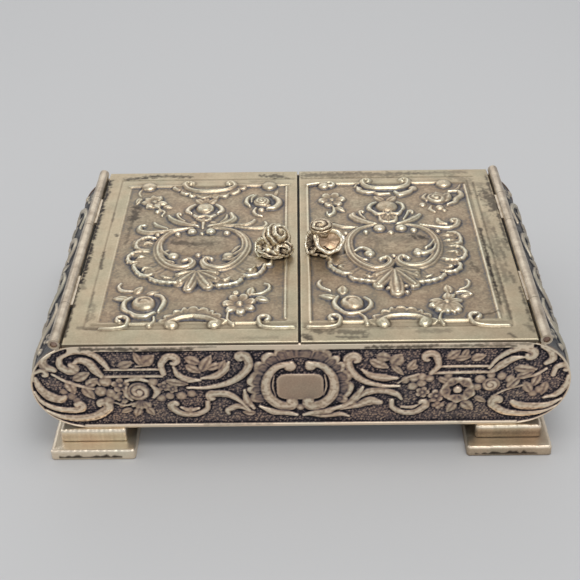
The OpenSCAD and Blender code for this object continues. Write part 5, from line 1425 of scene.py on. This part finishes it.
def leaf_collar(at, radius, leaves, reach, turn, thick=1.2):
    """A star of leaves: the edge is a rounded wave, the top dips along each midrib and rises to the tips."""
    n, rings = 240, 40
    a = np.linspace(0, 2 * np.pi, n, endpoint=False)[None, :]
    rho = np.linspace(0.02, 1, rings)[:, None]
    wave = np.abs(np.cos((a - np.radians(turn)) * leaves / 2)) ** 0.55
    bias = 1 + reach[0] * np.cos(a - np.radians(reach[1])) + 0.03 * np.sin(3 * a)
    edge = radius * (0.74 + 0.26 * wave) * bias
    across = np.mod((a - np.radians(turn)) * leaves / (2 * np.pi) + 0.5, 1) - 0.5
    rib = np.exp(-((across / 0.045) ** 2)) + 0.5 * np.exp(-((np.abs(across) - 0.2) / 0.05) ** 2)
    height = thick * (0.62 + 0.38 * rho**2 - 0.26 * rib * rho * (1 - rho**6))
    height = height * np.clip((1.0 - rho) / 0.1, 0, 1) ** 0.4
    height = np.where(rho > 0.999, 0.24, np.maximum(height, 0.26)) * (0.8 + 0.2 * wave)
    top = np.stack([edge * rho * np.cos(a), edge * rho * np.sin(a), height], -1)
    low = np.stack([edge * 0.985 * np.cos(a), edge * 0.985 * np.sin(a), 0.0 * a + 0.01], -1)
    # the collar's low tone is painted shadow under the rose's petals
    tone = 0.22 + 0.26 * rho**2 * wave - 0.14 * rib * (1 - rho**6)
    tone = tone + 0.16 * np.clip((rho - 0.84) / 0.12, 0, 1)
    return closed_shell(at, np.concatenate([top, low]), np.vstack([tone, np.full((1, n), 0.2)]))


def join_shells(name, shells):
    """One object from closed shells (points, faces, tones, worn shares), kept above the lid."""
    start, faces = 0, {}
    for points, parts, _, _ in shells:
        for part in parts:
            faces.setdefault(part.shape[1], []).append(part + start)
        start += len(points)
    place, tone, worn = (np.concatenate([shell[k] for shell in shells]) for k in (0, 2, 3))
    place[:, 2] = np.clip(place[:, 2], LID_TOP + 0.01, KNOB_TOP)
    piece = write_mesh(name, place, [np.vstack(part) for part in faces.values()],
        {"tone": tone, "stain_and_shade": np.zeros(len(tone)), "border": worn})
    print(f"{name}: {len(piece.data.polygons)} faces")
    return piece


KNOB_X = (collar_low[0] + collar_high[0]) / 2
KNOB_Y = -2.0  # the roses sit a little in front of the lid's middle
KNOB_TOP = cad_box[1][2] / MM - 0.05


def left_rose():
    """The left rose: a tall whorl facing the front right, a smaller one below, a broad leaf at its left."""
    at = np.array([-KNOB_X, KNOB_Y, LID_TOP])
    return [wound_lump(at + [0.8, -0.2, 5.3], (5.1, 4.6, 5.4), (0.42, -0.45, 0.79), 5.6, 0.19, 1, 0.6,
            -0.08, 0.03),
        wound_lump(at + [2.7, -3.4, 2.7], (4.3, 3.7, 2.9), (0.45, -0.8, 0.25), 3.6, 0.24, -1, 2.1, 0.02,
            0.12, 60, 120),
        wound_lump(at + [-0.6, -1.8, 1.7], (6.3, 5.4, 2.2), (0.4, -0.2, 0.9), 4.4, 0.20, 1, 1.2, 0.0, 0.08,
            60, 120),
        spoon_petal(at + [-4.9, -2.6, 2.9], (-0.45, -0.62, 0.62), 18, 2.9, 3.9, 0.9, 1.2, 0.5, 0.42, 0.07),
        spoon_petal(at + [-0.8, -5.4, 1.6], (0.0, -0.8, 0.6), -8, 4.4, 2.2, 0.6, 1.0, 2.5, 0.36, 0.05),
        spoon_petal(at + [-2.4, 3.6, 3.2], (-0.35, 0.8, 0.5), 0, 4.0, 3.4, 0.8, 1.0, 1.5, 0.4, 0.05),
        spoon_petal(at + [3.6, 2.6, 3.0], (0.7, 0.6, 0.5), 0, 3.4, 3.2, 0.8, 1.0, 3.5, 0.4, 0.05)]


def right_rose():
    """The right rose: a flat coiled head, a broad open petal with a worn hollow, a dark leaf at its left."""
    at = np.array([KNOB_X, KNOB_Y, LID_TOP])
    return [wound_lump(at + [-0.6, 1.3, 9.2], (4.2, 4.0, 2.15), (-0.05, -0.35, 0.93), 4.8, 0.15, -1, 1.4,
            -0.04, 0.03),
        # the bud under the head and the low lump at the base are darkened as painted shadow
        wound_lump(at + [-0.6, 1.4, 5.4], (3.4, 3.0, 4.2), (0.1, -0.4, 0.9), 5.0, 0.14, -1, 0.3, 0.16, 0,
            60, 120),
        wound_lump(at + [-0.4, 0.2, 1.4], (5.6, 4.6, 1.7), (-0.1, -0.5, 0.8), 4.0, 0.14, 1, 0.7, 0.12, 0.04,
            60, 120),
        spoon_petal(at + [2.2, -2.6, 5.2], (0.12, -0.72, 0.68), -8, 6.0, 5.0, 1.0, 1.9, 0.3, 0.55, 0.0, 1.0,
            0.7),
        spoon_petal(at + [-4.4, -2.0, 4.4], (-0.5, -0.66, 0.56), 16, 3.2, 4.9, 0.7, 0.9, 1.5, 0.34, 0.22),
        # the lowest petal's hollow is painted near black as painted shadow at the front of the base
        spoon_petal(at + [-1.4, -4.2, 1.8], (-0.2, -0.8, 0.5), 0, 4.6, 2.2, 0.6, 0.8, 2.4, -0.2, 0.05),
        spoon_petal(at + [-2.0, 3.8, 3.4], (-0.35, 0.8, 0.5), 0, 4.0, 3.4, 0.8, 1.0, 1.5, 0.4, 0.05),
        spoon_petal(at + [4.0, 2.6, 3.2], (0.7, 0.6, 0.5), 0, 3.4, 3.2, 0.8, 1.0, 3.5, 0.4, 0.05)]


KNOB_SILVER = silver_material("oxidised_silver_cast",
    [(0.0, "#0d0b0b"), (0.22, "#2b2523"), (0.34, "#5e5349"), (0.46, "#978672"), (0.58, "#c0ad92"),
        (0.72, "#e0d2b6"), (0.88, "#f8efda")],
    [(0.0, "#140d0b"), (0.3, "#66503f"), (0.5, "#a0886f"), (0.7, "#c9b094"), (0.9, "#efdfc8")],
    roughness=(0.26, 0.48))
for side, rose_shells, reach, turn in [("left", left_rose(), (0.08, 190), 190),
        ("right", right_rose(), (0.08, 200), 215)]:
    sign = -1 if side == "left" else 1
    rose = join_shells(f"{side}_knob_rosebud", rose_shells)
    collar = join_shells(f"{side}_knob_leaf_collar",
        [leaf_collar((sign * KNOB_X, KNOB_Y, LID_TOP), 6.2, 5, reach, turn, 1.3)])
    for piece, node in [(rose, "knob_rose"), (collar, "knob_collar")]:
        piece.data.materials.append(KNOB_SILVER)
        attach(piece, f"{side}_lid")
        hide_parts(f"{side}_{node}")

# %% [markdown]
# The parts that keep their plain CAD shape get a material each: drawn tube with fine lines, dull pins, dark
# inner sheets whose near black is painted shadow, steel fastenings, and cedar whose grain is stretched bands.
# %% Materials of the CAD parts
def stretched_place(material, axis, share):
    """The object's coordinates, and the same with one axis shrunk to a share, which draws a noise out."""
    place = add_node(material, "TexCoord").outputs["Object"]
    stretch = [1.0, 1.0, 1.0]
    stretch[axis] = share
    return place, add_node(material, "Mapping", [], [("Scale", stretch)], [("Vector", place)]).outputs[0]


def drawn_metal(name, stops, axis, roughness, metal, lines=1200.0):
    """Metal drawn along an axis: stretched noise gives fine lines, a broad noise gives the tarnish."""
    m = new_material(name)
    place, drawn_out = stretched_place(m, axis, 0.05)
    fine = noise(m, drawn_out, lines, 3.0)
    broad = noise(m, place, 180.0, 5.0, 0.65)
    shade = colour_ramp(m, add_share(m, fine, 0.35, broad), stops)
    gloss = add_node(m, "MapRange", [], [("To Min", roughness[0]), ("To Max", roughness[1])],
        [("Value", broad)])
    return shade_surface(m, [("Metallic", metal)],
        [("Base Color", shade.outputs["Color"]), ("Roughness", gloss.outputs[0])], fine, 0.3, 0.00003)


def sawn_wood(name, early, late, axis):
    """Sawn board: growth bands about 2 mm apart, stretched along an axis and bent by a slow noise."""
    m = new_material(name)
    _, along = stretched_place(m, axis, 0.07)
    bands = add_node(m, "TexWave", [("wave_type", "RINGS"), ("rings_direction", "SPHERICAL")],
        [("Scale", 160.0), ("Distortion", 5.0), ("Detail", 3.0), ("Detail Scale", 1.4)],
        [("Vector", along)])
    level = add_share(m, noise(m, along, 2200.0, 2.0), 0.5, bands.outputs["Fac"])
    shade = colour_ramp(m, level, [(0.2, early), (0.6, early), (1.0, late)])
    return shade_surface(m, [("Roughness", 0.6)], [("Base Color", shade.outputs["Color"])], level, 0.2,
        0.00005)


TUBE = drawn_metal("nickel_silver_tube_drawn",
    [(0.36, "#6f6355"), (0.5, "#aa9a85"), (0.66, "#c6b6a0"), (0.84, "#e0d2bb")], 1, (0.28, 0.45), 0.9)
PIN = drawn_metal("brass_pin_tarnished", [(0.42, "#54413a"), (0.6, "#8c7266"), (0.8, "#b39a8a")], 1,
    (0.35, 0.5), 0.7)
INNER = drawn_metal("silver_plate_rolled_dull", [(0.42, "#4c4641"), (0.6, "#847b6f"), (0.8, "#a89d8b")], 0,
    (0.35, 0.55), 0.85)
# a near-black sheet: painted shadow where the base and divider show under the case and between the lids
DARK = drawn_metal("brass_sheet_painted_shadow", [(0.42, "#0b0908"), (0.62, "#1a1613"), (0.8, "#352d26")], 0,
    (0.5, 0.7), 0.4)
STEEL = drawn_metal("steel_turned", [(0.42, "#6f7072"), (0.6, "#8f9092"), (0.8, "#b1b2b4")], 2, (0.25, 0.4),
    1.0)
CEDAR_LONG = sawn_wood("cedar_board_sawn_long", "#b98560", "#8c5a3c", 1)
CEDAR_WIDE = sawn_wood("cedar_board_sawn_wide", "#b98560", "#8c5a3c", 0)
for side in ("left", "right"):
    for node, material, slot in [("lid_tubes", TUBE, "bare_metal"), ("fixed_tubes", TUBE, "bare_metal"),
            ("hinge_pin", PIN, "bare_metal"), ("lid_backing", INNER, "plain_silver"),
            ("knob_screw", STEEL, "steel"), ("knob_nut", STEEL, "steel"),
            ("lining_floor", CEDAR_LONG, "cedar"), ("lining_sides", CEDAR_LONG, "cedar"),
            ("lining_ends", CEDAR_WIDE, "cedar")]:
        piece = bpy.data.objects[f"{side}_{node}"]
        piece.data.materials.clear()
        piece.data.materials.append(material)
# base plate and divider take the near-black sheet as painted shadow
for node in ("base_plate", "centre_divider"):
    piece = bpy.data.objects[node]
    piece.data.materials.clear()
    piece.data.materials.append(DARK)

# %% [markdown]
# A plain pale floor and plain soft studio light: broad lamps overhead, behind and at the left, and a plain
# world. Metal shows what it reflects, so the lamps are wide and even.
# %% Floor and light
floor = write_mesh("floor",
    np.array([[-1500, -1500, -0.02], [1500, -1500, -0.02], [1500, 1500, -0.02], [-1500, 1500, -0.02]]),
    [np.array([[0, 1, 2, 3]])], smooth=False)
paper = new_material("pale_studio_paper")
paper_shader = add_node(paper, "BsdfPrincipled", [],
    [("Base Color", linear("#c9c8c6")), ("Roughness", 0.9)])
add_node(paper, "OutputMaterial", [], [], [("Surface", paper_shader.outputs[0])])
floor.data.materials.append(paper)


def softbox(name, place, aim, size, power):
    """A rectangular area lamp at a place, facing a point, in millimetres and watts."""
    lamp = bpy.data.objects.new(name, bpy.data.lights.new(name, "AREA"))
    lamp.data.shape, lamp.data.energy = "RECTANGLE", power
    lamp.data.size, lamp.data.size_y = size[0] * MM, size[1] * MM
    way = np.array(aim, float) - np.array(place, float)
    lamp.rotation_euler = Vector(way).to_track_quat("-Z", "Y").to_euler()
    lamp.location = np.array(place) * MM
    bpy.context.scene.collection.objects.link(lamp)
    return lamp


softbox("overhead_softbox", (120, -60, 900), (0, 0, 30), (600, 500), 3.0)
softbox("back_softbox", (-150, 900, 560), (0, 0, 30), (1000, 520), 1.2)
softbox("side_softbox", (-800, -100, 420), (0, 0, 20), (400, 500), 0.8)
softbox("front_softbox", (180, -1000, 420), (0, 0, 20), (900, 400), 1.3)
world = bpy.data.worlds.new("studio")
world.use_nodes = True
world.node_tree.nodes["Background"].inputs["Color"].default_value = linear("#dfe2e8")
world.node_tree.nodes["Background"].inputs["Strength"].default_value = 0.72
bpy.context.scene.world = world
